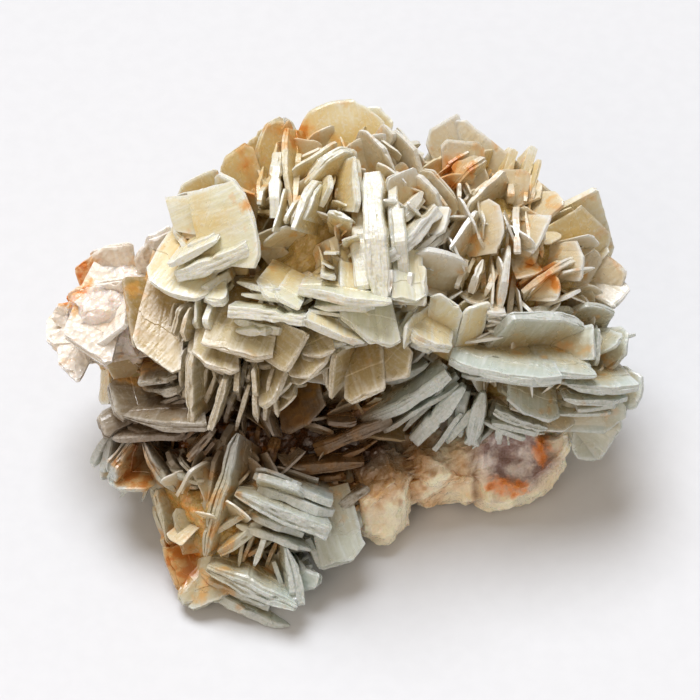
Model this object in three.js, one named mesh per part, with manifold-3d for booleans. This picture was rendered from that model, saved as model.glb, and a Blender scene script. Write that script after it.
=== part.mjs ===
// Blue barite: a cluster of thin barite blades grown together on a stained rocky base.
// Millimetres, +Z up. The specimen rests on the flat broken spot under its base, at Z = 0,
// and the origin is under the middle of its box.
import * as THREE from 'three';
import { mergeVertices } from 'three/addons/utils/BufferGeometryUtils.js';
import Module from 'manifold-3d';

const wasm = await Module();
wasm.setup();

// Sizes of the specimen as a whole
const LAYOUT_ELEVATION = 50; // degrees above the horizon of the direction the blades are laid out from
const LAYOUT_DISTANCE = 500; // from that viewpoint to the layout centre
const LAYOUT_CENTRE = new THREE.Vector3(1.35, 2.72, 23); // puts the middle of the box over the origin
const CUT_DEPTH = 60; // how far below Z = 0 the broken base is cleared away
const CUT_WIDTH = 300;

// The outline that every blade shares, as parts of its rim length and of its reach
const CORNER_LEAST = 0.05;
const CORNER_SPREAD = 0.16;
const SHOULDER = 0.16;
const ROOT_TAPER = 0.12;
const CUT_CORNER_LENGTH = 13; // blades with a longer rim have their corners cut off

// Layout axes: u to the right, v up the view, w towards the viewer
const elevation = THREE.MathUtils.degToRad(LAYOUT_ELEVATION);
const AXIS_U = new THREE.Vector3(1, 0, 0);
const AXIS_V = new THREE.Vector3(0, Math.sin(elevation), Math.cos(elevation));
const AXIS_W = new THREE.Vector3(0, -Math.cos(elevation), Math.sin(elevation));

/** A direction given in layout axes, in the part's own axes. */
function heading(u, v, w) {
  return new THREE.Vector3().addScaledVector(AXIS_U, u).addScaledVector(AXIS_V, v).addScaledVector(AXIS_W, w);
}

/** A point seen at (u, v) in the layout, w in front of the layout centre. */
function seen(u, v, w) {
  const nearer = 1 - w / LAYOUT_DISTANCE;
  return heading(u * nearer, v * nearer, w).add(LAYOUT_CENTRE);
}

/** A repeatable number from 0 to 1 for an index and a channel. */
function chance(index, channel) {
  const wave = Math.abs(Math.sin(index * 12.9898 + channel * 78.233)) * 43758.5453;
  return wave - Math.floor(wave);
}

/** A closed geometry as a solid that can be joined and cut. */
function solid(geometry) {
  geometry.deleteAttribute('normal');
  geometry.deleteAttribute('uv');
  const merged = mergeVertices(geometry, 1e-4);
  return new wasm.Manifold(new wasm.Mesh({
    numProp: 3,
    vertProperties: new Float32Array(merged.attributes.position.array),
    triVerts: new Uint32Array(merged.index.array),
  }));
}

/**
 * One barite blade. Its rim runs between two layout points, and the blade goes back from the rim
 * into the cluster. Each record is [rim start, rim end, way back, reach, thickness, bow of the rim].
 */
function blade([start, end, back, reach, thick, bow = 0], index) {
  const from = seen(...start);
  const along = seen(...end).sub(from);
  const length = along.length();
  along.normalize();
  const inward = heading(...back).normalize();
  const normal = new THREE.Vector3().crossVectors(along, inward).normalize();
  const across = new THREE.Vector3().crossVectors(normal, along);
  const lean = inward.dot(along) * reach;
  const depth = inward.dot(across) * reach;
  const place = (part, level) => new THREE.Vector2(part * length + level * lean, level * depth);
  const cornerA = CORNER_LEAST + CORNER_SPREAD * chance(index, 1);
  const cornerB = CORNER_LEAST + CORNER_SPREAD * chance(index, 2);
  const rim = length > CUT_CORNER_LENGTH
    ? [place(0, SHOULDER), place(cornerA, 0).setY(-bow), place(1 - cornerB, 0).setY(-bow), place(1, SHOULDER)]
    : [place(0, 0), place(1, 0)];
  const outline = [...rim, place(1 - ROOT_TAPER, 1), place(ROOT_TAPER, 1)];
  const plate = new THREE.ExtrudeGeometry(new THREE.Shape(outline), { depth: thick, bevelEnabled: false });
  plate.translate(0, 0, -thick / 2);
  plate.applyMatrix4(new THREE.Matrix4().makeBasis(along, across, normal).setPosition(from));
  return solid(plate);
}

/** A rough lump: an ellipsoid in layout axes with broken flats all round. */
function lump({ at, radii, seed, flats = 18, detail = 2, depth = 0.3 }) {
  const planes = Array.from({ length: flats }, (_, i) => {
    const height = 2 * chance(seed + i, 3) - 1;
    const turn = 2 * Math.PI * chance(seed + i, 4);
    const width = Math.sqrt(1 - height * height);
    return {
      normal: new THREE.Vector3(width * Math.cos(turn), width * Math.sin(turn), height),
      offset: 1 - depth * chance(seed + i, 5),
    };
  });
  const ball = new THREE.IcosahedronGeometry(1, detail);
  const corners = ball.attributes.position;
  const toward = new THREE.Vector3();
  const centre = seen(...at);
  for (let i = 0; i < corners.count; i += 1) {
    toward.fromBufferAttribute(corners, i).normalize();
    let size = 1;
    for (const { normal, offset } of planes) {
      const facing = toward.dot(normal);
      if (facing > 0) size = Math.min(size, offset / facing);
    }
    toward.multiplyScalar(size);
    const point = heading(toward.x * radii[0], toward.y * radii[1], toward.z * radii[2]).add(centre);
    corners.setXYZ(i, point.x, point.y, point.z);
  }
  return solid(ball);
}

// Crown, upper left: tall panes and broad strips
const CROWN_LEFT = [
  [[-22.3, 31.5, 4], [-16.7, 35.2, 4], [0.35, -0.9, -0.15], 15, 1.2],
  [[-30.4, 26.6, 6], [-22.5, 30.6, 8], [0.45, -0.85, -0.35], 16, 1.2],
  [[-30.6, 25.5, 6], [-28.6, 14, 11], [0.8, 0.1, -0.6], 13, 1.1],
  [[-18.5, 28.5, 17], [-15.0, 13.6, 21], [-0.8, 0.1, -0.6], 13, 1.0, 1.2],
  [[-22.3, 30, 13], [-16.8, 27.2, 16.5], [-0.1, -0.8, -0.6], 13, 1.0],
  [[-29.8, 11.4, 17], [-17, 16.6, 20.5], [0.15, 0.3, -0.95], 15, 3.0],
  [[-34.8, 12.4, 11], [-24, 8.0, 17], [0.35, 0.75, -0.6], 15, 1.3, 1.5],
  [[-24.3, 8, 18], [-24.3, 2.3, 18], [0.3, 0, -0.95], 12, 1.5],
  [[-16.3, 36.8, 3], [-11.2, 39.4, 2], [0.05, -0.97, -0.2], 17, 1.3],
  [[-12.3, 33.3, 12], [-13, 22, 19], [0.1, 0, -1], 14, 2.3],
  [[-11, 37, 8], [-10.7, 22, 18], [0.3, 0.1, -0.95], 13, 1.4],
  [[-9.5, 38.2, 0], [5.6, 41.2, -1], [0.1, -0.95, 0.1], 18, 1.2, 2.2],
  [[4.4, 41.8, -3], [8.2, 37, -2], [-0.7, -0.7, 0], 12, 1.2],
  [[-8.3, 29.8, 16], [0.5, 34.5, 12], [0.15, -0.55, -0.85], 14, 2.0],
  [[-9.8, 20, 21], [-6.5, 29, 17], [0.3, -0.1, -0.95], 13, 1.5],
  [[3.3, 30, 18], [5.0, 8.3, 26], [0.12, 0, -1], 18, 2.6],
  [[1, 32.3, 15], [1.6, 23, 19], [-0.4, 0, -0.9], 13, 1.2],
  [[-2.4, 33.6, 11], [1.2, 33.6, 11], [0, -0.97, -0.3], 14, 1.0],
];

// Crown, front: the bright stacked rims that stand nearest
const CROWN_FRONT = [
  [[-9.5, 8.7, 25], [6.9, 7.5, 25], [0.05, 0.45, -0.9], 18, 1.8],
  [[-20.6, 6.4, 22], [-7.5, 4.8, 25], [0.1, 0.4, -0.9], 17, 2.4],
  [[-7.2, 4.2, 23.5], [1.4, 0.6, 23], [0.1, 0.6, -0.8], 14, 1.8],
  [[-1.5, 2.2, 23], [8.6, 0.0, 21], [-0.1, 0.9, -0.5], 14, 1.3],
  [[9.3, 2.6, 19], [16.6, -1.4, 17], [0.1, 0.5, -0.85], 13, 2.0],
  [[12.8, 14, 18], [12.9, 7.4, 19], [-0.8, 0, -0.6], 13, 1.1],
  [[6.8, 8.2, 21.5], [12.6, 7.4, 19.5], [0, 0.85, -0.5], 10, 1.1],
  [[13.5, 10.8, 17], [19, 7.2, 15], [-0.1, -0.7, -0.7], 13, 1.0],
  [[19, 7.1, 14.5], [23.7, 8.3, 13], [-0.2, -0.75, -0.65], 12, 1.0],
];

// Crown, right: plates in sloping ranks
const CROWN_RIGHT = [
  [[2, 37.3, 8], [9, 31, 12], [-0.3, -0.5, -0.85], 14, 1.0],
  [[7.5, 37, 5], [14, 30.5, 8], [-0.4, -0.5, -0.8], 14, 1.1],
  [[11, 30.5, 10], [17.2, 23.3, 11], [-0.5, -0.4, -0.8], 13, 1.2],
  [[17.2, 23.6, 11], [15.6, 18.8, 14], [-0.7, 0.1, -0.7], 12, 1.2],
  [[5.5, 28.5, 14], [11, 30.7, 10], [0.2, -0.85, -0.5], 14, 0.9],
  [[13, 31.2, 7], [19, 24.2, 8], [-0.5, -0.5, -0.7], 13, 0.9],
  [[6.4, 14.7, 21], [15.8, 23, 15], [-0.1, 0.2, -1], 14, 2.6],
  [[9.5, 17.2, 17], [20, 15.0, 12], [-0.1, -0.65, -0.75], 13, 1.5, 0.9],
  [[22, 15, 11], [19.8, 9, 14], [0.1, 0.1, -1], 12, 1.7],
];

// Shoulder, upper right: upright plates and the far panes of the skyline
const SHOULDER_RIGHT = [
  [[26.6, 17.5, 11], [25.4, 5.8, 14], [-0.1, 0, -1], 14, 1.6],
  [[27.7, 24.2, 8], [27.8, 16, 12], [0.1, 0, -1], 13, 1.4, 0.6],
  [[24.5, 25.7, 9], [26.1, 16.5, 11], [-0.8, -0.2, -0.6], 12, 0.9, 0.8],
  [[25.4, 30.2, 5], [18.5, 23.3, 10], [0.3, -0.4, -0.85], 14, 1.3],
  [[20.9, 23.3, 10], [16.5, 17, 13], [0.3, -0.3, -0.9], 13, 1.1],
  [[22.5, 32.3, 3], [16.8, 28.5, 6], [0, -0.4, -0.9], 12, 2.0],
  [[15.0, 35.4, 0], [22.6, 34.8, -1], [0, -0.95, -0.2], 13, 1.2],
  [[32.8, 21.8, 5], [30.9, 14.2, 8], [-0.8, 0.1, -0.6], 11, 1.2],
  [[28.8, 24.4, 5], [32.7, 22, 4], [-0.3, -0.8, -0.5], 11, 1.2],
  [[33, 20.8, 2], [36.8, 20, 1], [-0.3, -0.8, -0.5], 12, 1.2],
  [[28.6, 10.7, 12], [39, 16.3, 6], [0, -0.35, -0.95], 14, 1.4],
  [[34.6, 12.8, 8], [34.6, 8, 9], [-0.8, 0, -0.6], 11, 1.1, 0.8],
  [[18, 39.7, -6], [29.4, 30.3, -6], [-0.55, -0.7, -0.1], 18, 1.4],
  [[12, 36.3, -5], [18, 39.7, -6], [0.3, -0.9, -0.1], 16, 1.3],
  [[30.2, 29.1, -3], [38.2, 21, -3], [-0.7, -0.6, -0.2], 16, 1.3, 1.0],
  [[38.6, 17.8, 0], [42.6, 16.2, -2], [-0.4, -0.8, -0.3], 12, 1.2],
  [[42, 16.5, -4], [47.5, 10.8, -4], [-0.8, -0.5, -0.2], 18, 1.4, 0.8],
  [[47.4, 10.6, -4], [44.2, 6.8, -2], [-0.8, 0.4, -0.3], 15, 1.4],
];

// Right fan: blue-green blades that spread from a common root
const FAN = [
  [[27, 5.9, 14], [40.9, 5.5, 9], [-0.55, -0.5, -0.7], 13, 2.3],
  [[40.7, 4.4, 8], [40.9, -1.5, 9], [-0.85, -0.1, -0.5], 11, 1.2],
  [[35.5, 7.4, 5], [44.3, 6.4, 2], [-0.2, -0.55, -0.8], 12, 1.4, 1.6],
  [[17, -4.4, 14], [34, -6.0, 18], [0.05, 0.7, -0.7], 12, 1.8, 1.2],
  [[30, -4.4, 13], [41.2, -4.7, 12], [-0.1, 0.7, -0.7], 10, 1.4],
  [[38, -7.0, 12], [48.2, -7.0, 8], [-0.2, 0.6, -0.8], 13, 2.0],
  [[36, -9, 11], [47, -8.9, 8], [-0.2, 0.4, -0.9], 13, 1.4],
  [[48.8, -3.2, 3], [47.6, -10, 3], [-0.9, 0, -0.45], 16, 1.4, 1.0],
  [[46.8, 3.9, 3], [46, -3, 4], [-0.9, 0, -0.45], 14, 1.2],
  [[46.4, -11.6, 3], [41.5, -18.8, 0], [-0.75, 0.6, -0.2], 15, 1.4],
  [[46.3, -8.5, 4], [46.3, -14, 3], [-1, 0, -0.3], 15, 1.3],
  [[41.8, -18.8, 0], [37, -18.2, 0], [0, 0.95, -0.1], 12, 1.3],
  [[26, -10, 11], [35, -12.4, 8], [0, 0.85, -0.5], 11, 1.2],
  [[24, -10.7, 10], [33, -13.8, 7], [0, 0.3, -0.95], 11, 1.7],
  [[21.9, -7.5, 12], [20.2, -16.3, 6], [0.1, 0.2, -0.95], 10, 3.0],
  [[16.8, -4.6, 15], [2, -13.5, 8], [0, 0.3, -0.95], 14, 2.6],
  [[19, -6.5, 13], [10.5, -15.5, 8], [0.1, 0.2, -0.95], 13, 3.0],
];

// Crown, lower fringe: rims, spikes and hanging panes over the recess
const FRINGE = [
  [[-25, 0.8, 19], [-13, -2.6, 21], [0.15, 0.75, -0.65], 14, 1.3],
  [[-27, 7, 16], [-28.5, 1, 16], [0.4, 0.1, -0.9], 13, 1.0],
  [[-36.5, 0.8, 11], [-28.5, -4.8, 14], [0.15, 0.9, -0.4], 16, 1.4],
  [[-38.3, 12, 8], [-36.4, 0.4, 11], [0.8, 0.1, -0.6], 12, 1.3],
  [[-27, -1, 17], [-26.7, -12.6, 14], [0.4, 0.3, -0.85], 10, 1.6],
  [[-21, -5, 18], [-23.6, -13.8, 15], [0.2, 0.4, -0.9], 10, 1.6],
  [[-19, -4.5, 18], [-19.2, -8.4, 17], [0, 0.4, -0.9], 12, 1.1],
  [[-26.5, -1.8, 18], [-18.5, -4.6, 19], [0, 0.7, -0.7], 12, 1.3],
  [[-10, -6.5, 19], [-15, -10.2, 17], [-0.1, 0.7, -0.7], 14, 1.4],
  [[-16, -7.5, 17], [-16, -13.7, 15], [0.1, 0.5, -0.85], 12, 1.2],
  [[-3, -1.5, 21], [-10, -6.6, 20], [-0.1, 0.7, -0.7], 13, 1.1, 0.8],
  [[-6.6, 2.6, 22], [-10.6, -4, 21], [-0.6, 0.3, -0.75], 12, 1.1],
  [[-1, -9.5, 17], [6, -6.6, 18], [0, 0.85, -0.55], 14, 1.3],
  [[7, -7.3, 18], [12.2, -2, 17], [-0.5, 0.6, -0.6], 13, 1.1],
];

// Recess: the darker blades between the crown and the foot
const RECESS = [
  [[7, -12, 8], [-6, -17.3, 6], [0, 0.2, -0.95], 12, 2.8],
  [[-11, -20.3, 7], [2.6, -19.3, 6], [0, 0.25, -0.95], 12, 2.4],
  [[-3.9, -11, 9], [-11.5, -14.8, 8], [-0.1, 0.8, -0.6], 11, 1.2],
  [[-12, -14.5, 7], [-14, -20, 6], [-0.1, 0, -1], 10, 2.4],
  [[3, -23.2, 6], [-4, -28.7, 6], [-0.1, 0.3, -0.95], 11, 1.9],
  [[-6.3, -22, 7], [-4, -28.3, 7], [0.1, 0, -1], 10, 1.8],
  [[-40.8, -5, 6], [-39.2, -12, 9], [0.8, 0.1, -0.6], 12, 1.6],
  [[-42.8, -10.6, 6], [-41, -14.8, 7], [0.85, 0.4, -0.35], 12, 2.8],
  [[-38.5, -13, 12], [-24, -13, 15], [0, 0.4, -0.9], 14, 2.2],
  [[-34, -8, 11], [-28, -6.5, 12], [0.1, 0.2, -0.95], 17, 1.7],
  [[-22.5, -13.5, 13], [-27, -18.5, 12], [0, 0.2, -1], 12, 1.6],
];

// Foot, lower left: stout blades stacked round the orange hollow
const FOOT = [
  [[-35.5, -15.5, 11], [-29.8, -24, 9], [0.2, 0.1, -0.95], 11, 2.2],
  [[-38.5, -15.5, 10], [-41.4, -23, 6], [0.5, 0.1, -0.85], 11, 2.7],
  [[-40.4, -23.7, 6], [-33, -23.7, 7], [0.2, 0.6, -0.7], 11, 1.6],
  [[-30.5, -20.8, 11], [-24.5, -22.5, 12], [0, 0.3, -0.95], 11, 1.5],
  [[-33, -23.3, 7], [-30.8, -32.8, 6], [0.6, 0.1, -0.8], 11, 1.7],
  [[-30, -26.5, 8], [-28.4, -34, 7], [0.85, 0, -0.5], 10, 1.6],
  [[-19, -13.5, 14], [-25, -34.5, 11], [0.35, -0.1, -0.9], 13, 2.8],
  [[-15.5, -20.5, 14], [-7.3, -23.5, 13], [0, -0.4, -0.9], 13, 1.7],
  [[-19.3, -24.5, 15], [-3.5, -31, 14], [0, 0.25, -0.95], 14, 2.8],
  [[-5, -36.8, 9], [2.9, -34.6, 7], [-0.2, 0.9, -0.3], 13, 1.6],
  [[-14, -28.8, 13], [-22, -34.5, 12], [0, 0.3, -0.95], 11, 2.0],
  [[-10.5, -33, 12], [-8.0, -43, 11], [-0.2, 0.2, -0.95], 10, 2.6],
  [[-4.6, -37.4, 9], [-5.6, -41.8, 9], [-0.8, 0.4, -0.4], 10, 2.0],
  [[-24, -37, 12], [-9, -43.4, 13], [0, 0.35, -0.9], 13, 3.6],
  [[-31.5, -33, 5], [-29, -41.2, 6], [0.9, 0.2, -0.3], 10, 2.4],
  [[-29.4, -40.8, 7], [-26.6, -44.2, 8], [0.6, 0.7, -0.3], 10, 2.4],
  [[-27, -44, 8], [-20.3, -42, 9], [0.1, 0.9, -0.3], 9, 2.4],
];

// Left lobe: broad plates under a sparkling crust
const LOBE = [
  [[-48, 2, 7], [-40, -3.4, 10], [0.25, 0.85, -0.4], 15, 2.0],
  [[-47.4, 10.4, 3], [-36.5, 12.4, 7], [0.1, -0.7, -0.7], 12, 1.6],
  [[-50.8, 3.4, 1], [-49.7, -2, 2], [1, 0.1, -0.3], 12, 1.8],
  [[-50.4, 4.6, 0], [-48.6, 8.8, 0], [0.9, -0.3, -0.3], 12, 1.8],
  [[-49.6, -1.6, 3], [-45.3, -5.8, 5], [0.4, 0.8, -0.4], 13, 1.7],
  [[-46.4, 16.4, -1], [-36, 18.4, 2], [0.1, -0.85, -0.5], 12, 1.6],
  [[-37, 18, 4], [-30, 20.8, 6], [0.2, -0.8, -0.6], 12, 1.5],
  [[-45.2, -2.6, 8], [-37.4, 3.4, 11], [0.1, 0.7, -0.7], 12, 1.5],
];

// Rough lumps, in layout axes: what the blades are rooted in
const LUMPS = [
  { at: [-5, 15, 1], radii: [24, 22, 17], seed: 11, detail: 1 },
  { at: [20, 13, -2], radii: [20, 19, 14], seed: 42, detail: 1 },
  { at: [30, -4, -1], radii: [14, 10, 10], seed: 71 },
  { at: [-38, 5, -2], radii: [11, 12, 10], seed: 101 },
  { at: [-22, -27, 2], radii: [11, 15, 10], seed: 131, detail: 1 },
  { at: [-12, -14, -4], radii: [24, 14, 10], seed: 161, detail: 1 },
  { at: [5.5, -23, -1], radii: [7, 9, 9], seed: 191 },
  { at: [16, -19, -5], radii: [9, 8, 10], seed: 221 },
  { at: [27, -16, -8], radii: [11, 9, 9], seed: 251 },
  { at: [0, 4, -13], radii: [34, 23, 20], seed: 283, detail: 2, depth: 0.35 },
];

// The pinkish hollow in the side of the base
const HOLLOW = { at: [31, -18, 3], radii: [6, 5, 6], seed: 311 };

// Blades of the back and sides grow in books: a few plates side by side, turned about one heading
const BOOKS = [
  { around: [-5, 15, 1], radii: [28, 26, 23], count: 17, seed: 400 },
  { around: [20, 13, -2], radii: [26, 24, 19], count: 15, seed: 500 },
  { around: [-38, 5, -2], radii: [13, 14, 12], count: 8, seed: 600 },
];
const BOOK_PLATES = 2;
const BOOK_SPACING = 3.2;
const BOOK_FRONT_LIMIT = -0.12; // books grow only where the lump faces away from the layout's viewpoint
const BOOK_LOWEST = 14; // and above this height, where the rock of the base takes over

/** The plate records of the books round one lump. */
function bookPlates({ around, radii, count, seed }) {
  const records = [];
  for (let i = 0; i < count; i += 1) {
    const rise = 1 - (2 * i + 1) / count;
    const turn = i * Math.PI * (3 - Math.sqrt(5));
    const width = Math.sqrt(1 - rise * rise);
    const way = new THREE.Vector3(width * Math.cos(turn), width * Math.sin(turn), rise);
    const spot = [0, 1, 2].map((axis) => around[axis] + way.getComponent(axis) * radii[axis]);
    if (way.z > BOOK_FRONT_LIMIT || seen(...spot).z < BOOK_LOWEST) continue;
    const tilt = Math.PI * chance(seed + i, 6);
    const side = new THREE.Vector3(-way.y, way.x, 0).normalize();
    const over = new THREE.Vector3().crossVectors(way, side);
    const rim = side.clone().multiplyScalar(Math.cos(tilt)).addScaledVector(over, Math.sin(tilt));
    const stack = new THREE.Vector3().crossVectors(way, rim);
    for (let plate = 0; plate < BOOK_PLATES; plate += 1) {
      const pick = seed + i * BOOK_PLATES + plate;
      const half = 3.5 + 4 * chance(pick, 7);
      const offset = (plate - (BOOK_PLATES - 1) / 2) * BOOK_SPACING;
      const middle = new THREE.Vector3(...spot)
        .addScaledVector(stack, offset)
        .addScaledVector(way, -1.5 * Math.abs(offset) * chance(pick, 8));
      const start = middle.clone().addScaledVector(rim, -half);
      const end = middle.clone().addScaledVector(rim, half);
      const back = way.clone().negate().addScaledVector(stack, 0.5 * (chance(pick, 9) - 0.5));
      records.push([start.toArray(), end.toArray(), back.toArray(), 14, 1.1 + 0.8 * chance(pick, 10)]);
    }
  }
  return records;
}

const plates = [
  ...CROWN_LEFT, ...CROWN_FRONT, ...CROWN_RIGHT, ...SHOULDER_RIGHT, ...FAN,
  ...FRINGE, ...RECESS, ...FOOT, ...LOBE, ...BOOKS.flatMap(bookPlates),
];

let cluster = LUMPS.map(lump).reduce((whole, piece) => whole.add(piece));
cluster = cluster.subtract(lump(HOLLOW));
plates.map(blade).forEach((piece) => {
  cluster = cluster.add(piece);
});
const ground = new THREE.BoxGeometry(CUT_WIDTH, CUT_WIDTH, CUT_DEPTH).translate(0, 0, -CUT_DEPTH / 2);
cluster = cluster.subtract(solid(ground));

// Blades that meet can shut in a pocket between them: only the outer skin is kept
const [specimenBody] = cluster.decompose().sort((one, other) => other.volume() - one.volume());

const faces = specimenBody.getMesh();
const geometry = new THREE.BufferGeometry();
geometry.setAttribute('position', new THREE.BufferAttribute(new Float32Array(faces.vertProperties), 3));
geometry.setIndex(new THREE.BufferAttribute(new Uint32Array(faces.triVerts), 1));

const barite = new THREE.MeshStandardMaterial({ color: '#d9d6c4', roughness: 0.35, metalness: 0 });
const specimen = new THREE.Mesh(geometry, barite);
specimen.name = 'barite_cluster';

const group = new THREE.Group();
group.add(specimen);
export default group;
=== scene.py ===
"""Blue barite: a cluster of thin barite blades grown together on a stained rocky base.

Sizes are in millimetres in the classes below, and become metres when a mesh is written.
"""

import logging
import math
import random
from dataclasses import dataclass
from enum import Enum

import bmesh
import bpy
import numpy as np
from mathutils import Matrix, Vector, noise


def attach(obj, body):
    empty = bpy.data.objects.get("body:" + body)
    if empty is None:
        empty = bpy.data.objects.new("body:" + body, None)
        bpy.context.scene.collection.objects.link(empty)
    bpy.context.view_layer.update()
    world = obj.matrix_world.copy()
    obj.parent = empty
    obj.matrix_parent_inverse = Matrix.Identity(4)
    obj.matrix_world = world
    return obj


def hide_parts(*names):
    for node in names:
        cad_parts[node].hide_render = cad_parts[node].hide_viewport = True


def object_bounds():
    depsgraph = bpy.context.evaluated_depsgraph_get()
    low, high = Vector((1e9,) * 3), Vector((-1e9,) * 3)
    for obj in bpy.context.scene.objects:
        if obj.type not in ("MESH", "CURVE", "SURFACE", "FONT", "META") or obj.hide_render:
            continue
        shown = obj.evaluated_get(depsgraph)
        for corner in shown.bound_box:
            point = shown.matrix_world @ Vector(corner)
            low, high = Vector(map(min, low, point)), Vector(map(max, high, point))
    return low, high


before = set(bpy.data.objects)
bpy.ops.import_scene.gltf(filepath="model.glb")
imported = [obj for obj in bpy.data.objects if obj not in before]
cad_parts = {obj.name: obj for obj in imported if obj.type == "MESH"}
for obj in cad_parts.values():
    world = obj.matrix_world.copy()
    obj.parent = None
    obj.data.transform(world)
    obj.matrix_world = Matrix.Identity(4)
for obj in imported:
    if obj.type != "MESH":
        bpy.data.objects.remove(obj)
CAD_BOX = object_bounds()
LOG = logging.getLogger("blue_barite")

MM = 0.001
NODE = "barite_cluster"
BODY = "root"
PHOTO_SPAN = 116.667  # mm across the photograph's frame at the layout centre
SENSOR_WIDTH = 36.0
BARITE_IOR = 1.64
STAIN_REACH = 2.5  # mm that a stain spreads beyond its lump, on blades
NOISE = "ShaderNodeTexNoise"
CELLS = "ShaderNodeTexVoronoi"
Triple = tuple[float, float, float]
Tree = bpy.types.NodeTree
Socket = bpy.types.NodeSocket
Value = float | str | Socket
Masks = dict[str, Socket]
Coat = tuple[Socket, float, float, float, str]
Relief = tuple[Socket, float, float]


@dataclass(frozen=True)
class Layout:
    """The axes the blades are laid out in: u right, v up the view, w towards the viewer."""

    elevation: float = 50.0
    distance: float = 500.0
    centre: Triple = (1.35, 2.72, 23.0)

    def axes(self) -> np.ndarray:
        """Give the three layout axes as rows, in the part's own axes."""
        rise = math.radians(self.elevation)
        return np.array([
            (1.0, 0.0, 0.0),
            (0.0, math.sin(rise), math.cos(rise)),
            (0.0, -math.cos(rise), math.sin(rise)),
        ])

    def heading(self, way: Triple) -> np.ndarray:
        """Turn a direction from layout axes to the part's own axes."""
        return np.asarray(way, float) @ self.axes()

    def seen(self, spot: Triple) -> np.ndarray:
        """Place a spot of the photograph in the part's own axes.

        Args:
            spot: Where it shows, u and v, and how far it is in front of the layout centre, w.

        Returns:
            Its place.
        """
        u, v, w = spot
        nearer = 1.0 - w / self.distance
        return self.heading((u * nearer, v * nearer, w)) + np.array(self.centre)

    def local(self, points: np.ndarray, spot: Triple) -> np.ndarray:
        """Give points relative to a layout spot, along the layout axes."""
        return (points - self.seen(spot)) @ self.axes().T


LAYOUT = Layout()


@dataclass(frozen=True)
class Blade:
    """One barite blade: its rim from start to end, its way back into the cluster, and its sizes."""

    start: Triple
    end: Triple
    back: Triple
    reach: float
    thick: float
    bow: float = 0.0


@dataclass(frozen=True)
class Lump:
    """A rough lump in layout axes, which blades are rooted in."""

    at: Triple
    radii: Triple
    seed: int = 0
    depth: float = 0.3

    def nearness(self, points: np.ndarray) -> np.ndarray:
        """Give how far points stand off this lump, in millimetres and roughly.

        Args:
            points: Places in the part's own axes, one row each.

        Returns:
            The distances, negative inside the lump.
        """
        scaled = LAYOUT.local(points, self.at) / np.array(self.radii)
        return (np.linalg.norm(scaled, axis=1) - 1.0) * min(self.radii)


class Habit(Enum):
    """How ragged a group's blades are: how far the breaks in their rims go, in millimetres."""

    LAYERED = 0.3
    RAGGED = 0.5

# Crown, upper left: tall panes and broad strips
CROWN_LEFT = (
    Blade((-22.3, 31.5, 4), (-16.7, 35.2, 4), (0.35, -0.9, -0.15), 15, 1.2),
    Blade((-30.4, 26.6, 6), (-22.5, 30.6, 8), (0.45, -0.85, -0.35), 16, 1.2),
    Blade((-30.6, 25.5, 6), (-28.6, 14, 11), (0.8, 0.1, -0.6), 13, 1.1),
    Blade((-18.5, 28.5, 17), (-15.0, 13.6, 21), (-0.8, -0.05, -0.6), 11, 1.0, 1.4),
    Blade((-22.3, 30, 13), (-16.8, 27.2, 16.5), (-0.1, -0.8, -0.6), 13, 1.0),
    Blade((-29.8, 11.4, 17), (-17, 16.6, 20.5), (0.15, 0.3, -0.95), 15, 3.0),
    Blade((-34.8, 12.4, 11), (-24, 8.0, 17), (0.35, 0.75, -0.6), 15, 1.3, 1.5),
    Blade((-24.2, 7.6, 18), (-20.4, 7.6, 19), (0, 0.5, -0.85), 9, 1.8),
    Blade((-24.3, 8, 18), (-24.3, 2.3, 18), (0.3, 0, -0.95), 12, 1.5),
    Blade((-16.3, 36.8, 3), (-11.2, 39.4, 2), (0.05, -0.97, -0.2), 17, 1.3),
    Blade((-12.3, 33.3, 12), (-13, 22, 19), (0.1, 0, -1), 14, 2.3),
    Blade((-11, 37, 8), (-10.7, 22, 18), (0.3, 0.1, -0.95), 13, 1.4),
    Blade((-11.4, 38.9, 3), (-9.6, 38.2, 3), (0, -0.9, -0.4), 9, 1.3),
    Blade((-9.5, 38.2, 0), (5.6, 41.2, -1), (0.1, -0.95, 0.1), 18, 1.2, 2.2),
    Blade((4.4, 41.8, -3), (8.2, 37, -2), (-0.7, -0.7, 0), 12, 1.2),
    Blade((-8.3, 29.8, 16), (0.5, 34.5, 12), (0.15, -0.55, -0.85), 14, 2.0),
    Blade((-9.8, 20, 21), (-6.5, 29, 17), (0.3, -0.1, -0.95), 13, 1.5),
    Blade((-8.0, 21.8, 19), (-5.3, 28, 16.5), (0.3, -0.1, -0.95), 12, 1.0),
    Blade((-2.5, 29.5, 16), (-4, 24, 18), (-0.3, 0, -0.95), 11, 1.0),
    Blade((-3.8, 23.6, 19), (0.5, 21.8, 20), (0, -0.3, -0.95), 11, 0.9),
    Blade((3.1, 30.4, 18), (4.8, 8.1, 26), (0.12, 0, -1), 18, 4.0),
    Blade((1, 32.3, 15), (1.6, 23, 19), (-0.4, 0, -0.9), 13, 1.2),
    Blade((-2.4, 33.6, 11), (1.2, 33.6, 11), (0, -0.97, -0.3), 14, 1.0),
    Blade((-1.3, 18.4, 20), (1.6, 19.5, 20), (0, -0.2, -1), 10, 0.9),
)

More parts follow.
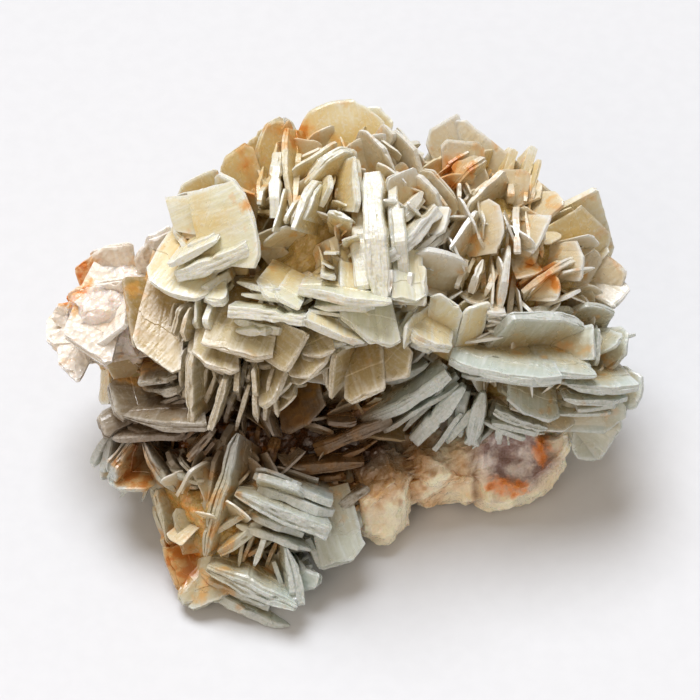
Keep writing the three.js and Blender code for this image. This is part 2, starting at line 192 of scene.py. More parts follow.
# Crown, front: the bright stacked rims that stand nearest
CROWN_FRONT = (
    Blade((-9.5, 8.7, 25), (6.9, 7.5, 25), (0.05, 0.25, -0.97), 18, 1.9),
    Blade((-20.6, 6.4, 22), (-7.5, 4.8, 25), (0.1, 0.12, -0.99), 17, 2.3),
    Blade((-8.2, 4.9, 24.5), (2.2, 0.2, 23), (0.15, 0.3, -0.94), 14, 1.7),
    Blade((-16.5, 10.2, 21), (-11.5, 7.2, 23), (0.2, 0.4, -0.9), 13, 1.0),
    Blade((-13, 8.8, 22), (-8.5, 6.5, 24), (0.2, 0.4, -0.9), 12, 0.9),
    Blade((-1.5, 2.2, 23), (8.6, 0.0, 21), (-0.1, 0.9, -0.5), 14, 1.3),
    Blade((9.3, 2.6, 19), (16.6, -1.4, 17), (0.1, 0.5, -0.85), 13, 2.0),
    Blade((9.4, 5, 19), (8.7, 0, 20), (0.4, 0.3, -0.85), 12, 0.9),
    Blade((12.8, 14, 18), (12.9, 7.4, 19), (-0.8, 0, -0.6), 13, 1.1),
    Blade((6.8, 8.2, 21.5), (12.6, 7.4, 19.5), (0, 0.85, -0.5), 10, 1.1),
    Blade((13.5, 10.8, 17), (19, 7.2, 15), (-0.1, -0.7, -0.7), 13, 1.0),
    Blade((19, 7.1, 14.5), (23.7, 8.3, 13), (-0.2, -0.75, -0.65), 12, 1.0),
    Blade((-5, 12.2, 21), (-2.5, 11.6, 21), (0, 0.2, -1), 10, 0.9),
)

# Crown, right: plates in sloping ranks
CROWN_RIGHT = (
    Blade((2, 37.3, 8), (9, 31, 12), (-0.3, -0.5, -0.85), 14, 1.0),
    Blade((7.5, 37, 5), (14, 30.5, 8), (-0.4, -0.5, -0.8), 14, 1.1),
    Blade((5.5, 38.2, 4), (7.9, 35.6, 6), (-0.4, -0.6, -0.7), 11, 0.9),
    Blade((11, 30.5, 10), (17.2, 23.3, 11), (-0.5, -0.4, -0.8), 13, 1.2),
    Blade((17.2, 23.6, 11), (15.6, 18.8, 14), (-0.7, 0.1, -0.7), 12, 1.2),
    Blade((5.5, 28.5, 14), (11, 30.7, 10), (0.2, -0.85, -0.5), 14, 0.9),
    Blade((13, 31.2, 7), (19, 24.2, 8), (-0.5, -0.5, -0.7), 13, 0.9),
    Blade((5.5, 25, 17), (9.7, 25.3, 15), (0, -0.5, -0.85), 11, 0.8),
    Blade((9.6, 24.8, 15), (12, 22.5, 14), (0, -0.3, -0.95), 11, 0.8),
    Blade((6.4, 14.7, 21), (15.8, 23, 15), (-0.1, 0.2, -1), 14, 2.6),
    Blade((6.5, 13.6, 22), (6.2, 8.7, 22), (0.1, 0, -1), 12, 1.4),
    Blade((9.5, 17.2, 17), (20, 15.0, 12), (-0.1, -0.65, -0.75), 13, 1.5, 0.9),
    Blade((22, 15, 11), (19.8, 9, 14), (0.1, 0.1, -1), 12, 1.7),
)

# Shoulder, upper right: upright plates and the far panes of the skyline
SHOULDER_RIGHT = (
    Blade((26.6, 17.5, 11), (25.4, 5.8, 14), (-0.1, 0, -1), 14, 1.6),
    Blade((22.8, 5.8, 14), (26, 5.6, 14), (0, 0.3, -0.95), 10, 0.9),
    Blade((27.7, 24.2, 8), (27.8, 16, 12), (0.1, 0, -1), 13, 1.4, 0.6),
    Blade((26.8, 28, 5), (27, 24.5, 7), (0, 0, -1), 11, 1.5),
    Blade((24.5, 25.7, 9), (26.1, 16.5, 11), (-0.8, -0.2, -0.6), 12, 0.9, 0.8),
    Blade((25.4, 30.2, 5), (18.5, 23.3, 10), (0.3, -0.4, -0.85), 14, 1.3),
    Blade((20.9, 23.3, 10), (16.5, 17, 13), (0.3, -0.3, -0.9), 13, 1.1),
    Blade((22.5, 32.3, 3), (16.8, 28.5, 6), (0, -0.4, -0.9), 12, 2.0),
    Blade((15.0, 35.4, 0), (22.6, 34.8, -1), (0, -0.95, -0.2), 13, 1.2),
    Blade((18.2, 27.8, 8), (18.4, 24.8, 9), (0, 0, -1), 10, 0.9),
    Blade((32.8, 21.8, 5), (30.9, 14.2, 8), (-0.8, 0.1, -0.6), 11, 1.2),
    Blade((28.8, 24.4, 5), (32.7, 22, 4), (-0.3, -0.8, -0.5), 11, 1.2),
    Blade((33, 20.8, 2), (36.8, 20, 1), (-0.3, -0.8, -0.5), 12, 1.2),
    Blade((28.6, 10.7, 12), (39, 16.3, 6), (0, -0.35, -0.95), 14, 1.4),
    Blade((34.6, 12.8, 8), (34.6, 8, 9), (-0.8, 0, -0.6), 11, 1.1, 0.8),
    Blade((18, 39.7, -6), (29.4, 30.3, -6), (-0.55, -0.7, -0.1), 18, 1.4),
    Blade((12, 36.3, -5), (18, 39.7, -6), (0.3, -0.9, -0.1), 16, 1.3),
    Blade((30.2, 29.1, -3), (38.2, 21, -3), (-0.7, -0.6, -0.2), 16, 1.3, 1.0),
    Blade((38.2, 20.4, -3), (40.5, 18.2, -3), (-0.8, -0.4, -0.2), 14, 1.1),
    Blade((38.6, 17.8, 0), (42.6, 16.2, -2), (-0.4, -0.8, -0.3), 12, 1.2),
    Blade((42, 16.5, -4), (47.5, 10.8, -4), (-0.8, -0.5, -0.2), 18, 1.4, 0.8),
    Blade((47.4, 10.6, -4), (44.2, 6.8, -2), (-0.8, 0.4, -0.3), 15, 1.4),
)

# Right fan: blue-green blades that spread from a common root
FAN = (
    Blade((27, 5.9, 14), (40.9, 5.5, 9), (-0.55, -0.5, -0.7), 13, 2.3),
    Blade((40.7, 4.4, 8), (40.9, -1.5, 9), (-0.85, -0.1, -0.5), 11, 1.2),
    Blade((41.6, 3.7, 8), (41.2, -2.7, 8), (-0.3, 0, -0.95), 11, 1.0),
    Blade((35.5, 7.4, 5), (44.3, 6.4, 2), (-0.2, -0.55, -0.8), 12, 1.4, 1.6),
    Blade((16.4, -2.2, 14), (35.5, -5.8, 16), (0, 0.4, -0.9), 12, 1.9, 1.6),
    Blade((28, -3.2, 13), (41.4, -4.6, 12), (-0.1, 0.45, -0.88), 10, 1.4, 0.9),
    Blade((36.5, -6.6, 12), (48.4, -6.6, 8), (-0.2, 0.35, -0.92), 13, 2.0, 0.8),
    Blade((36, -9, 11), (47, -8.9, 8), (-0.2, 0.4, -0.9), 13, 1.4),
    Blade((48.8, -3.2, 3), (47.6, -10, 3), (-0.9, 0, -0.45), 16, 1.4, 1.0),
    Blade((46.8, 3.9, 3), (46, -3, 4), (-0.9, 0, -0.45), 14, 1.2),
    Blade((46, 2.5, 6), (43, -1.5, 8), (-0.4, 0.2, -0.9), 12, 1.1),
    Blade((46.4, -11.6, 3), (41.5, -18.8, 0), (-0.75, 0.6, -0.2), 15, 1.4),
    Blade((46.3, -8.5, 4), (46.3, -14, 3), (-1, 0, -0.3), 15, 1.3),
    Blade((41.8, -18.8, 0), (37, -18.2, 0), (0, 0.95, -0.1), 12, 1.3),
    Blade((26, -10, 11), (35, -12.4, 8), (0, 0.85, -0.5), 11, 1.2),
    Blade((24, -10.7, 10), (33, -13.8, 7), (0, 0.3, -0.95), 11, 1.7),
    Blade((21.9, -7.5, 12), (20.2, -16.3, 6), (0.1, 0.2, -0.95), 10, 3.0),
    Blade((16.8, -4.6, 15), (2, -13.5, 8), (0, 0.3, -0.95), 14, 2.6),
    Blade((19, -6.5, 13), (10.5, -15.5, 8), (0.1, 0.2, -0.95), 13, 3.0),
)

# Crown, lower fringe: rims, spikes and hanging panes over the recess
FRINGE = (
    Blade((-25, 0.8, 19), (-13, -2.6, 21), (0.15, 0.75, -0.65), 14, 1.3),
    Blade((-28.5, 7.5, 15), (-30, 2, 14), (0.5, 0.1, -0.85), 12, 1.0),
    Blade((-27, 7, 16), (-28.5, 1, 16), (0.4, 0.1, -0.9), 13, 1.0),
    Blade((-36.5, 0.8, 11), (-28.5, -4.8, 14), (0.15, 0.9, -0.4), 16, 1.4),
    Blade((-38.3, 12, 8), (-36.4, 0.4, 11), (0.8, 0.1, -0.6), 12, 1.3),
    Blade((-27, -1, 17), (-26.7, -12.6, 14), (0.4, 0.3, -0.85), 10, 1.6),
    Blade((-21, -5, 18), (-23.6, -13.8, 15), (0.2, 0.4, -0.9), 10, 1.6),
    Blade((-19, -4.5, 18), (-19.2, -8.4, 17), (0, 0.4, -0.9), 12, 1.1),
    Blade((-26.5, -1.8, 18), (-18.5, -4.6, 19), (0, 0.7, -0.7), 12, 1.3),
    Blade((-10, -6.5, 19), (-15, -10.2, 17), (-0.1, 0.7, -0.7), 14, 1.4),
    Blade((-16, -7.5, 17), (-16, -13.7, 15), (0.1, 0.5, -0.85), 12, 1.2),
    Blade((-16.2, -3, 19), (-16, -8, 18), (0.1, 0.2, -0.95), 11, 1.2),
    Blade((-3, -1.5, 21), (-10, -6.6, 20), (-0.1, 0.7, -0.7), 13, 1.1, 0.8),
    Blade((-6.6, 2.6, 22), (-10.6, -4, 21), (-0.6, 0.3, -0.75), 12, 1.1),
    Blade((-7.6, -2.8, 22), (-2.5, -0.3, 22), (-0.1, 0.6, -0.8), 12, 0.9),
    Blade((-1, -9.5, 17), (6, -6.6, 18), (0, 0.85, -0.55), 14, 1.3),
    Blade((7, -7.3, 18), (12.2, -2, 17), (-0.5, 0.6, -0.6), 13, 1.1),
    Blade((-3.4, -8.4, 18), (-2.8, -1, 20), (0.4, 0.4, -0.85), 12, 1.0),
)

# Recess: the blades between the crown and the foot, painted darker as shade
RECESS = (
    Blade((7, -12, 8), (-6, -17.3, 6), (0, 0.2, -0.95), 12, 2.8),
    Blade((-4, -12.2, 8), (1, -12.7, 9), (0, 0.3, -0.95), 10, 1.0),
    Blade((-11, -20.3, 7), (2.6, -19.3, 6), (0, 0.25, -0.95), 12, 2.4),
    Blade((-3.9, -11, 9), (-11.5, -14.8, 8), (-0.1, 0.8, -0.6), 11, 1.2),
    Blade((-12, -14.5, 7), (-14, -20, 6), (-0.1, 0, -1), 10, 2.4),
    Blade((3, -23.2, 6), (-4, -28.7, 6), (-0.1, 0.3, -0.95), 11, 1.9),
    Blade((-6.3, -22, 7), (-4, -28.3, 7), (0.1, 0, -1), 10, 1.8),
    Blade((-40.8, -5, 6), (-39.2, -12, 9), (0.8, 0.1, -0.6), 12, 1.6),
    Blade((-42.8, -10.6, 6), (-41, -14.8, 7), (0.85, 0.4, -0.35), 12, 2.8),
    Blade((-38.5, -13, 12), (-24, -13, 15), (0, 0.4, -0.9), 14, 2.2),
    Blade((-35.5, -6, 10), (-29, -5.2, 12), (0, 0.4, -0.9), 11, 1.1),
    Blade((-34, -8, 11), (-28, -6.5, 12), (0.1, 0.2, -0.95), 17, 1.7),
    Blade((-22.5, -13.5, 13), (-27, -18.5, 12), (0, 0.2, -1), 12, 1.6),
)

# Foot, lower left: stout blades stacked round the orange hollow
FOOT = (
    Blade((-35.5, -15.5, 11), (-29.8, -24, 9), (0.2, 0.1, -0.95), 11, 2.2),
    Blade((-38.5, -15.5, 10), (-41.4, -23, 6), (0.5, 0.1, -0.85), 11, 2.7),
    Blade((-40.4, -23.7, 6), (-33, -23.7, 7), (0.2, 0.6, -0.7), 11, 1.6),
    Blade((-30.5, -20.8, 11), (-24.5, -22.5, 12), (0, 0.3, -0.95), 11, 1.5),
    Blade((-28.7, -18, 11), (-26, -21, 11), (0, 0.1, -1), 11, 1.1),
    Blade((-33, -23.3, 7), (-30.8, -32.8, 6), (0.6, 0.1, -0.8), 11, 1.7),
    Blade((-30, -26.5, 8), (-28.4, -34, 7), (0.85, 0, -0.5), 10, 1.6),
    Blade((-19, -13.5, 14), (-25, -34.5, 11), (0.35, -0.1, -0.9), 13, 2.8),
    Blade((-15.5, -20.5, 14), (-7.3, -23.5, 13), (0, -0.4, -0.9), 13, 1.7),
    Blade((-19.3, -24.5, 15), (-3.5, -31, 14), (0, 0.25, -0.95), 14, 2.8),
    Blade((-5, -36.8, 9), (2.9, -34.6, 7), (-0.2, 0.9, -0.3), 13, 1.6),
    Blade((-14, -28.8, 13), (-22, -34.5, 12), (0, 0.3, -0.95), 11, 2.0),
    Blade((-14.2, -30.5, 13), (-16, -36.2, 12), (0, 0, -1), 9, 1.3),
    Blade((-10.5, -33, 12), (-8.0, -43, 11), (-0.2, 0.2, -0.95), 10, 2.6),
    Blade((-4.6, -37.4, 9), (-5.6, -41.8, 9), (-0.8, 0.4, -0.4), 10, 2.0),
    Blade((-24, -37, 12), (-9, -43.4, 13), (0, 0.35, -0.9), 13, 3.6),
    Blade((-31.5, -33, 5), (-29, -41.2, 6), (0.9, 0.2, -0.3), 10, 2.4),
    Blade((-29.4, -40.8, 7), (-26.6, -44.2, 8), (0.6, 0.7, -0.3), 10, 2.4),
    Blade((-27, -44, 8), (-20.3, -42, 9), (0.1, 0.9, -0.3), 9, 2.4),
)

# Left lobe: broad plates under a sparkling crust
LOBE = (
    Blade((-48, 2, 7), (-40, -3.4, 10), (0.25, 0.85, -0.4), 15, 2.0),
    Blade((-47.4, 10.4, 3), (-36.5, 12.4, 7), (0.1, -0.7, -0.7), 12, 1.6),
    Blade((-50.8, 3.4, 1), (-49.7, -2, 2), (1, 0.1, -0.3), 12, 1.8),
    Blade((-50.4, 4.6, 0), (-48.6, 8.8, 0), (0.9, -0.3, -0.3), 12, 1.8),
    Blade((-49.6, -1.6, 3), (-45.3, -5.8, 5), (0.4, 0.8, -0.4), 13, 1.7),
    Blade((-46.4, 16.4, -1), (-36, 18.4, 2), (0.1, -0.85, -0.5), 12, 1.6),
    Blade((-37, 18, 4), (-30, 20.8, 6), (0.2, -0.8, -0.6), 12, 1.5),
    Blade((-45.2, -2.6, 8), (-37.4, 3.4, 11), (0.1, 0.7, -0.7), 12, 1.5),
)

# What the blades are rooted in, and where blades of the unseen sides grow
CROWN_CORE = Lump((-5, 15, -1), (23, 21, 15), 11)
SHOULDER_CORE = Lump((20, 13, -4), (20, 19, 12.5), 42)
FAN_CORE = Lump((30, -3, -2), (13, 9, 9), 71)
LOBE_CORE = Lump((-38, 5, -2), (11, 12, 10), 101)
FOOT_CORE = Lump((-22, -27, 2), (11, 15, 10), 131)
RECESS_CORE = Lump((-12, -14, -4), (24, 14, 10), 161)
CREAM_KNOB = Lump((5.5, -23, -1), (7, 9, 9), 191)
BROWN_KNOB = Lump((15, -19.5, -5), (9, 8.5, 10), 221)
PINK_KNOB = Lump((25.5, -17.5, -7), (12.5, 10, 9), 251)
BASE = Lump((0, 4, -13), (34, 23, 20), 283, 0.35)
HOLLOW = Lump((27.8, -17.8, 2), (6, 5.3, 6), 311)
# Where painted shade darkens the recess, on the blades and the rock
RECESS_SHADE = Lump((-15, -15, 3), (20, 6, 8))
MATRIX = (CREAM_KNOB, BROWN_KNOB, PINK_KNOB)
HOLLOW_RIM = (
    Lump((36, -14.5, -2), (2.6, 3.6, 4.5), 351), Lump((33.5, -19.5, -3), (3.4, 3, 4.5), 371),
    Lump((29, -22.8, -4), (4.6, 3.1, 4.5), 391), Lump((23, -24.9, -5), (6.5, 3.3, 5), 411),
    Lump((5.5, -29, -2), (6, 4.4, 6), 431),
)
DRUSE_FACE = Lump((-42, 5.5, 2), (8, 8.5, 8.5), 331)
STAINS = (
    Lump((-46.5, 11.5, 1), (3.5, 4, 8)), Lump((-35.5, -19, 6), (3, 3, 6)), Lump((-16.5, 29, 10), (1.2, 4, 6)),
    Lump((-9.5, 36, 4), (3, 2, 7)), Lump((31, 12, 7), (4, 2, 5)), Lump((-28, -36, 4), (3, 4, 5)),
    Lump((17, 30, 3), (3, 3, 6)), Lump((26, -22.8, -3), (2.6, 1.2, 5)), Lump((32, -16.5, -3), (0.8, 1.6, 5)),
)
BACK_FIELDS = ((Lump((-5, 15, 1), (28, 26, 23)), 17, 400), (Lump((20, 13, -2), (26, 24, 19)), 15, 500))
LOBE_FIELDS = ((Lump((-38, 5, -2), (13, 14, 12)), 8, 600),)
GROWN_CORES = (CROWN_CORE, SHOULDER_CORE, FAN_CORE, LOBE_CORE, FOOT_CORE, RECESS_CORE)
BARE_CORES = (CREAM_KNOB, BROWN_KNOB, PINK_KNOB, BASE)


def hex_linear(code: str) -> tuple[float, float, float, float]:
    """Turn an sRGB hex colour into a linear one with full alpha.

    Args:
        code: The colour, as #RRGGBB.

    Returns:
        Its red, green, blue and alpha, from 0 to 1.
    """
    channels = [int(code[i:i + 2], 16) / 255 for i in (1, 3, 5)]
    linear = [c / 12.92 if c <= 0.04045 else ((c + 0.055) / 1.055) ** 2.4 for c in channels]
    return (*linear, 1.0)


def feed(tree: Tree, node: bpy.types.Node, inputs: dict) -> None:
    """Set or link a node's inputs.

    Args:
        tree: The node tree it is in.
        node: The node.
        inputs: Values or output sockets, by input name or number.
    """
    for key, value in inputs.items():
        if isinstance(value, Socket):
            tree.links.new(value, node.inputs[key])
        else:
            node.inputs[key].default_value = value


def add(tree: Tree, kind: str, inputs: dict | None = None, **settings: object) -> bpy.types.Node:
    """Add a node with its settings, and set or link its inputs.

    Args:
        tree: The node tree to add to.
        kind: The node's type name.
        inputs: Values or output sockets, by input name or number.
        settings: Properties of the node itself.

    Returns:
        The new node.
    """
    made = tree.nodes.new(kind)
    for name, value in settings.items():
        setattr(made, name, value)
    feed(tree, made, inputs or {})
    return made


class Step(Enum):
    """What is done to numbers and colours: the node's kind and settings, its inputs and its output."""

    BLEND = ("ShaderNodeMix", {"data_type": "RGBA"}, (0, 6, 7), 2)
    RAMP = (
        "ShaderNodeMapRange", {"interpolation_type": "SMOOTHSTEP"},
        ("Value", "From Min", "From Max", "To Min", "To Max"), "Result",
    )
    SUM = ("ShaderNodeMath", {"operation": "ADD"}, (0, 1), 0)
    CAPPED_SUM = ("ShaderNodeMath", {"operation": "ADD", "use_clamp": True}, (0, 1), 0)
    PRODUCT = ("ShaderNodeMath", {"operation": "MULTIPLY"}, (0, 1), 0)


def work(tree: Tree, step: Step, *values: Value) -> Socket:
    """Do one step on numbers or colours.

    Args:
        tree: The node tree to add to.
        step: What to do.
        values: What to do it with, in the order of the step's inputs. Text is a hex colour.

    Returns:
        The result.
    """
    kind, settings, slots, output = step.value
    given = [hex_linear(value) if isinstance(value, str) else value for value in values]
    return add(tree, kind, dict(zip(slots, given)), **settings).outputs[output]


def stored(tree: Tree, *names: str) -> Masks:
    """Read the numbers stored on the mesh under these names."""
    return {name: add(tree, "ShaderNodeAttribute", attribute_name=name).outputs["Fac"] for name in names}


def pattern(tree: Tree, kind: str, size: float, **inputs: float) -> Socket:
    """Give a texture whose features have a real size.

    Args:
        tree: The node tree to add to.
        kind: The texture node's type name.
        size: How far across its features are, in millimetres.
        inputs: Its other inputs, by name.

    Returns:
        The texture's own value, from about 0 to 1.
    """
    place = add(tree, "ShaderNodeTexCoord").outputs["Object"]
    return add(tree, kind, {"Vector": place, "Scale": 1.0 / (size * MM), **inputs}).outputs[0]


def painted(tree: Tree, ground: Value, coats: list[Coat]) -> Socket:
    """Lay colours over each other.

    Args:
        tree: The node tree to add to.
        ground: The lowest colour.
        coats: For each colour over it: its mask, the mask's values where the colour starts and where
            it is full, how far it then covers, and the colour.

    Returns:
        The colour that shows.
    """
    for mask, start, full, most, colour in coats:
        share = work(tree, Step.RAMP, mask, start, full, 0.0, most)
        ground = work(tree, Step.BLEND, share, ground, colour)
    return ground


def carved(tree: Tree, reliefs: list[Relief]) -> Socket:
    """Carve reliefs into a surface, each on the ones before it.

    Args:
        tree: The node tree to add to.
        reliefs: For each, its height pattern, its strength and its depth in millimetres.

    Returns:
        The way the carved surface faces.
    """
    inputs = {}
    for height, strength, depth in reliefs:
        inputs |= {"Height": height, "Strength": strength, "Distance": depth * MM}
        inputs["Normal"] = add(tree, "ShaderNodeBump", inputs).outputs["Normal"]
    return inputs["Normal"]


def blank_material(name: str) -> bpy.types.Material:
    """Start a node material.

    Args:
        name: Its name.

    Returns:
        The material.
    """
    made = bpy.data.materials.new(name)
    made.use_nodes = True
    return made


def put_in_scene(name: str, data: bpy.types.ID) -> bpy.types.Object:
    """Put an object in the scene.

    Args:
        name: Its name.
        data: Its mesh, light or camera.

    Returns:
        The object.
    """
    made = bpy.data.objects.new(name, data)
    bpy.context.scene.collection.objects.link(made)
    return made


@dataclass(frozen=True)
class BariteFinish:
    """Cleaved barite blades: frosty broken rims, milky pearly faces, honey-coloured where they root.

    Sizes are in millimetres. Real growth lines and the grains of a broken rim are about 0.1 mm, too fine
    to show in the render, so line_spacing and fleck_size draw them coarser.
    """

    name: str
    rim: str
    cool: str
    warm: str
    honey: str
    stain: str
    # The colour of the painted shade on blades in the recess
    recess_shade_colour: str = "#7A5A3E"
    haze: str = "#EAB25E"
    frost_width: float = 1.0
    line_spacing: float = 0.7
    line_length: float = 6.0
    cloud_size: float = 5.0
    fleck_size: float = 0.5
    spot_size: float = 3.0
    dimple_size: float = 1.3
    tip_size: float = 1.1
    clear: float = 0.2
    honey_start: float = 0.2
    honey_most: float = 0.85
    inner_honey: float = 0.5
    sparkle: float = 0.0

    def growth(self, tree: Tree, layer: Socket) -> list[Socket]:
        """Draw the growth lines of a face, and the bands along a broken rim.

        Args:
            tree: The node tree to add to.
            layer: How high a place lies among the blade's layers, in millimetres.

        Returns:
            The lines and the bands.
        """
        plane = add(tree, "ShaderNodeUVMap", uv_map="plate").outputs["UV"]
        spread = (1 / self.line_spacing, 1 / self.line_length, 1)
        stretched = add(tree, "ShaderNodeMapping", {"Vector": plane, "Scale": spread}).outputs["Vector"]
        along = add(tree, "ShaderNodeSeparateXYZ", {0: stretched}).outputs["X"]
        height = work(tree, Step.PRODUCT, layer, 7.0)
        banded = add(tree, "ShaderNodeCombineXYZ", {"X": height, "Y": along}).outputs[0]
        return [
            add(tree, NOISE, {"Vector": place, "Scale": scale, "Detail": 3.0}).outputs["Fac"]
            for place, scale in ((stretched, 1.0), (banded, 0.6))
        ]

    def colour(self, tree: Tree, masks: Masks) -> Socket:
        """Paint the faces and the frosted rims, the stains over both, and painted shade in the recess over
        all.

        Args:
            tree: The node tree to add to.
            masks: The patterns and the stored numbers, by name.

        Returns:
            The colour that shows.
        """
        face = work(tree, Step.BLEND, masks["tint"], self.cool, self.warm)
        face = painted(tree, face, [(masks["lines"], 0.45, 0.7, 0.6, self.rim)])
        cloudy = work(tree, Step.RAMP, masks["clouds"], 0.3, 0.7, -0.2, 0.2)
        rooted = work(tree, Step.SUM, cloudy, masks["deep"])
        rooted = work(tree, Step.RAMP, rooted, self.honey_start, 1.0, 0.0, self.honey_most)
        inner = work(tree, Step.RAMP, masks["edge"], 1.5, 8.0, 0.0, self.inner_honey)
        face = work(tree, Step.BLEND, work(tree, Step.CAPPED_SUM, rooted, inner), face, self.honey)
        face = painted(tree, face, [(masks["flecks"], 0.48, 0.72, 0.3, self.rim)])
        rim = painted(tree, self.rim, [
            (masks["bands"], 0.45, 0.7, 0.6, self.warm), (masks["flecks"], 0.52, 0.34, 0.7, self.cool),
        ])
        frost = work(tree, Step.RAMP, masks["edge"], self.frost_width, 0.0, 0.0, 0.95)
        exposed = work(tree, Step.RAMP, masks["deep"], 1.0, 0.5, 0.2, 1.0)
        both = work(tree, Step.BLEND, work(tree, Step.PRODUCT, frost, exposed), face, rim)
        spots = pattern(tree, NOISE, self.spot_size, Detail=5.0)
        spotty = work(tree, Step.RAMP, spots, 0.4, 0.75, -0.35, 0.45)
        rust = work(tree, Step.CAPPED_SUM, masks["rust"], spotty)
        return painted(tree, both, [
            (rust, 0.2, 0.8, 0.75, self.haze), (rust, 0.7, 1.1, 0.9, self.stain),
            # Painted shade in the recess, over everything
            (masks["gloom"], 0.1, 1.0, 0.65, self.recess_shade_colour),
        ])

    def reliefs(self, tree: Tree, masks: Masks) -> list[Relief]:
        """List what is carved in the blades: frost, growth lines, dimples and crystal tips.

        Args:
            tree: The node tree to add to.
            masks: The patterns and the stored numbers, by name.

        Returns:
            The reliefs, in the order they are carved.
        """
        halves = [work(tree, Step.RAMP, masks[name], 0.2, 0.8, 0.0, 0.5) for name in ("lines", "bands")]
        found = [
            (masks["flecks"], 0.35, 0.1),
            (work(tree, Step.SUM, *halves), 0.35, 0.2),
            (pattern(tree, NOISE, self.dimple_size, Detail=1.0), 0.22, 0.2),
        ]
        if self.sparkle:
            found.append((pattern(tree, CELLS, self.tip_size), self.sparkle, 0.5))
        return found

    def material(self) -> bpy.types.Material:
        """Build the node material of these blades.

        Returns:
            The material.
        """
        made = blank_material(self.name)
        tree = made.node_tree
        masks = stored(tree, "edge", "deep", "layer", "tint", "rust", "gloom")
        masks["lines"], masks["bands"] = self.growth(tree, masks["layer"])
        masks["clouds"] = pattern(tree, NOISE, self.cloud_size, Detail=3.0)
        masks["flecks"] = pattern(tree, NOISE, self.fleck_size, Detail=3.0)
        feed(tree, tree.nodes["Principled BSDF"], {
            "Base Color": self.colour(tree, masks),
            "Roughness": work(tree, Step.RAMP, masks["clouds"], 0.35, 0.7, 0.16, 0.38),
            "Normal": carved(tree, self.reliefs(tree, masks)),
            "IOR": BARITE_IOR, "Specular IOR Level": 0.4, "Transmission Weight": self.clear,
            "Subsurface Weight": 0.3, "Subsurface Radius": (1.0, 0.9, 0.74), "Subsurface Scale": 0.3 * MM,
        })
        return made


@dataclass(frozen=True)
class RockFinish:
    """Massive barite and matrix: broken and granular, cream to tan, stained by iron.

    It looks waxy and uneven, with small glints off its chips. Sizes are in millimetres. Its grit is
    finer than the render can show, so grit_size draws it coarser.
    """

    name: str
    cream: str = "#FFF3D8"
    pink: str = "#DDB684"
    brown: str = "#B4803E"
    bruise: str = "#9A807A"
    quartz: str = "#EAE2DE"
    honey: str = "#BEA262"
    # The colour of the painted shade in the recess
    gloom: str = "#4A2E1A"
    druse: str = "#EADFD6"
    # The colour of the painted shade in the creases between knobs
    crease: str = "#8A5A2A"
    orange: str = "#F09010"
    rust: str = "#A85008"
    patch_size: float = 7.0
    mottle_size: float = 1.6
    bruise_size: float = 3.2
    chip_size: float = 2.6
    grit_size: float = 0.4

    def colour(self, tree: Tree, masks: Masks) -> Socket:
        """Paint the rock's patches and marks, painted shade in its creases and recess, and the rust over
        them.

        Args:
            tree: The node tree to add to.
            masks: The patterns and the stored numbers, by name.

        Returns:
            The colour that shows.
        """
        ground = painted(tree, self.cream, [
            (masks["patches"], 0.42, 0.6, 1.0, self.pink), (masks["mottles"], 0.5, 0.72, 0.7, self.brown),
        ])
        ground = work(tree, Step.BLEND, masks["honey"], ground, self.honey)
        ground = painted(tree, ground, [(masks["pale"], 0.0, 1.0, 0.8, self.cream)])
        bruised = pattern(tree, NOISE, self.bruise_size, Detail=3.0)
        hollow = painted(tree, self.quartz, [(bruised, 0.64, 0.38, 1.0, self.bruise)])
        # The creases and the recess get painted shade; the bruise and the druse are the rock's own colours
        marks = {"bruise": hollow, "crease": self.crease, "gloom": self.gloom, "druse": self.druse}
        for name, colour in marks.items():
            ground = work(tree, Step.BLEND, masks[name], ground, colour)
        spotty = work(tree, Step.RAMP, masks["mottles"], 0.3, 0.7, -0.25, 0.25)
        rust = work(tree, Step.CAPPED_SUM, masks["rust"], spotty)
        return painted(tree, ground, [
            (rust, 0.25, 1.0, 0.9, self.orange), (rust, 0.75, 1.2, 1.0, self.rust),
        ])

    def material(self) -> bpy.types.Material:
        """Build the node material of the rock.

        Returns:
            The material.
        """
        made = blank_material(self.name)
        tree = made.node_tree
        masks = stored(tree, "honey", "pale", "bruise", "crease", "gloom", "druse", "rust")
        masks["patches"] = pattern(tree, NOISE, self.patch_size, Detail=4.0)
        masks["mottles"] = pattern(tree, NOISE, self.mottle_size, Detail=4.0)
        grit = pattern(tree, NOISE, self.grit_size, Detail=2.0)
        chips = pattern(tree, CELLS, self.chip_size)
        feed(tree, tree.nodes["Principled BSDF"], {
            "Base Color": self.colour(tree, masks),
            "Roughness": work(tree, Step.RAMP, grit, 0.3, 0.7, 0.15, 0.42),
            "Normal": carved(tree, [(chips, 0.7, 0.8), (grit, 0.5, 0.12)]),
            "IOR": BARITE_IOR,
            "Subsurface Weight": 0.7, "Subsurface Radius": (1.0, 0.75, 0.5), "Subsurface Scale": 1.6 * MM,
        })
        return made


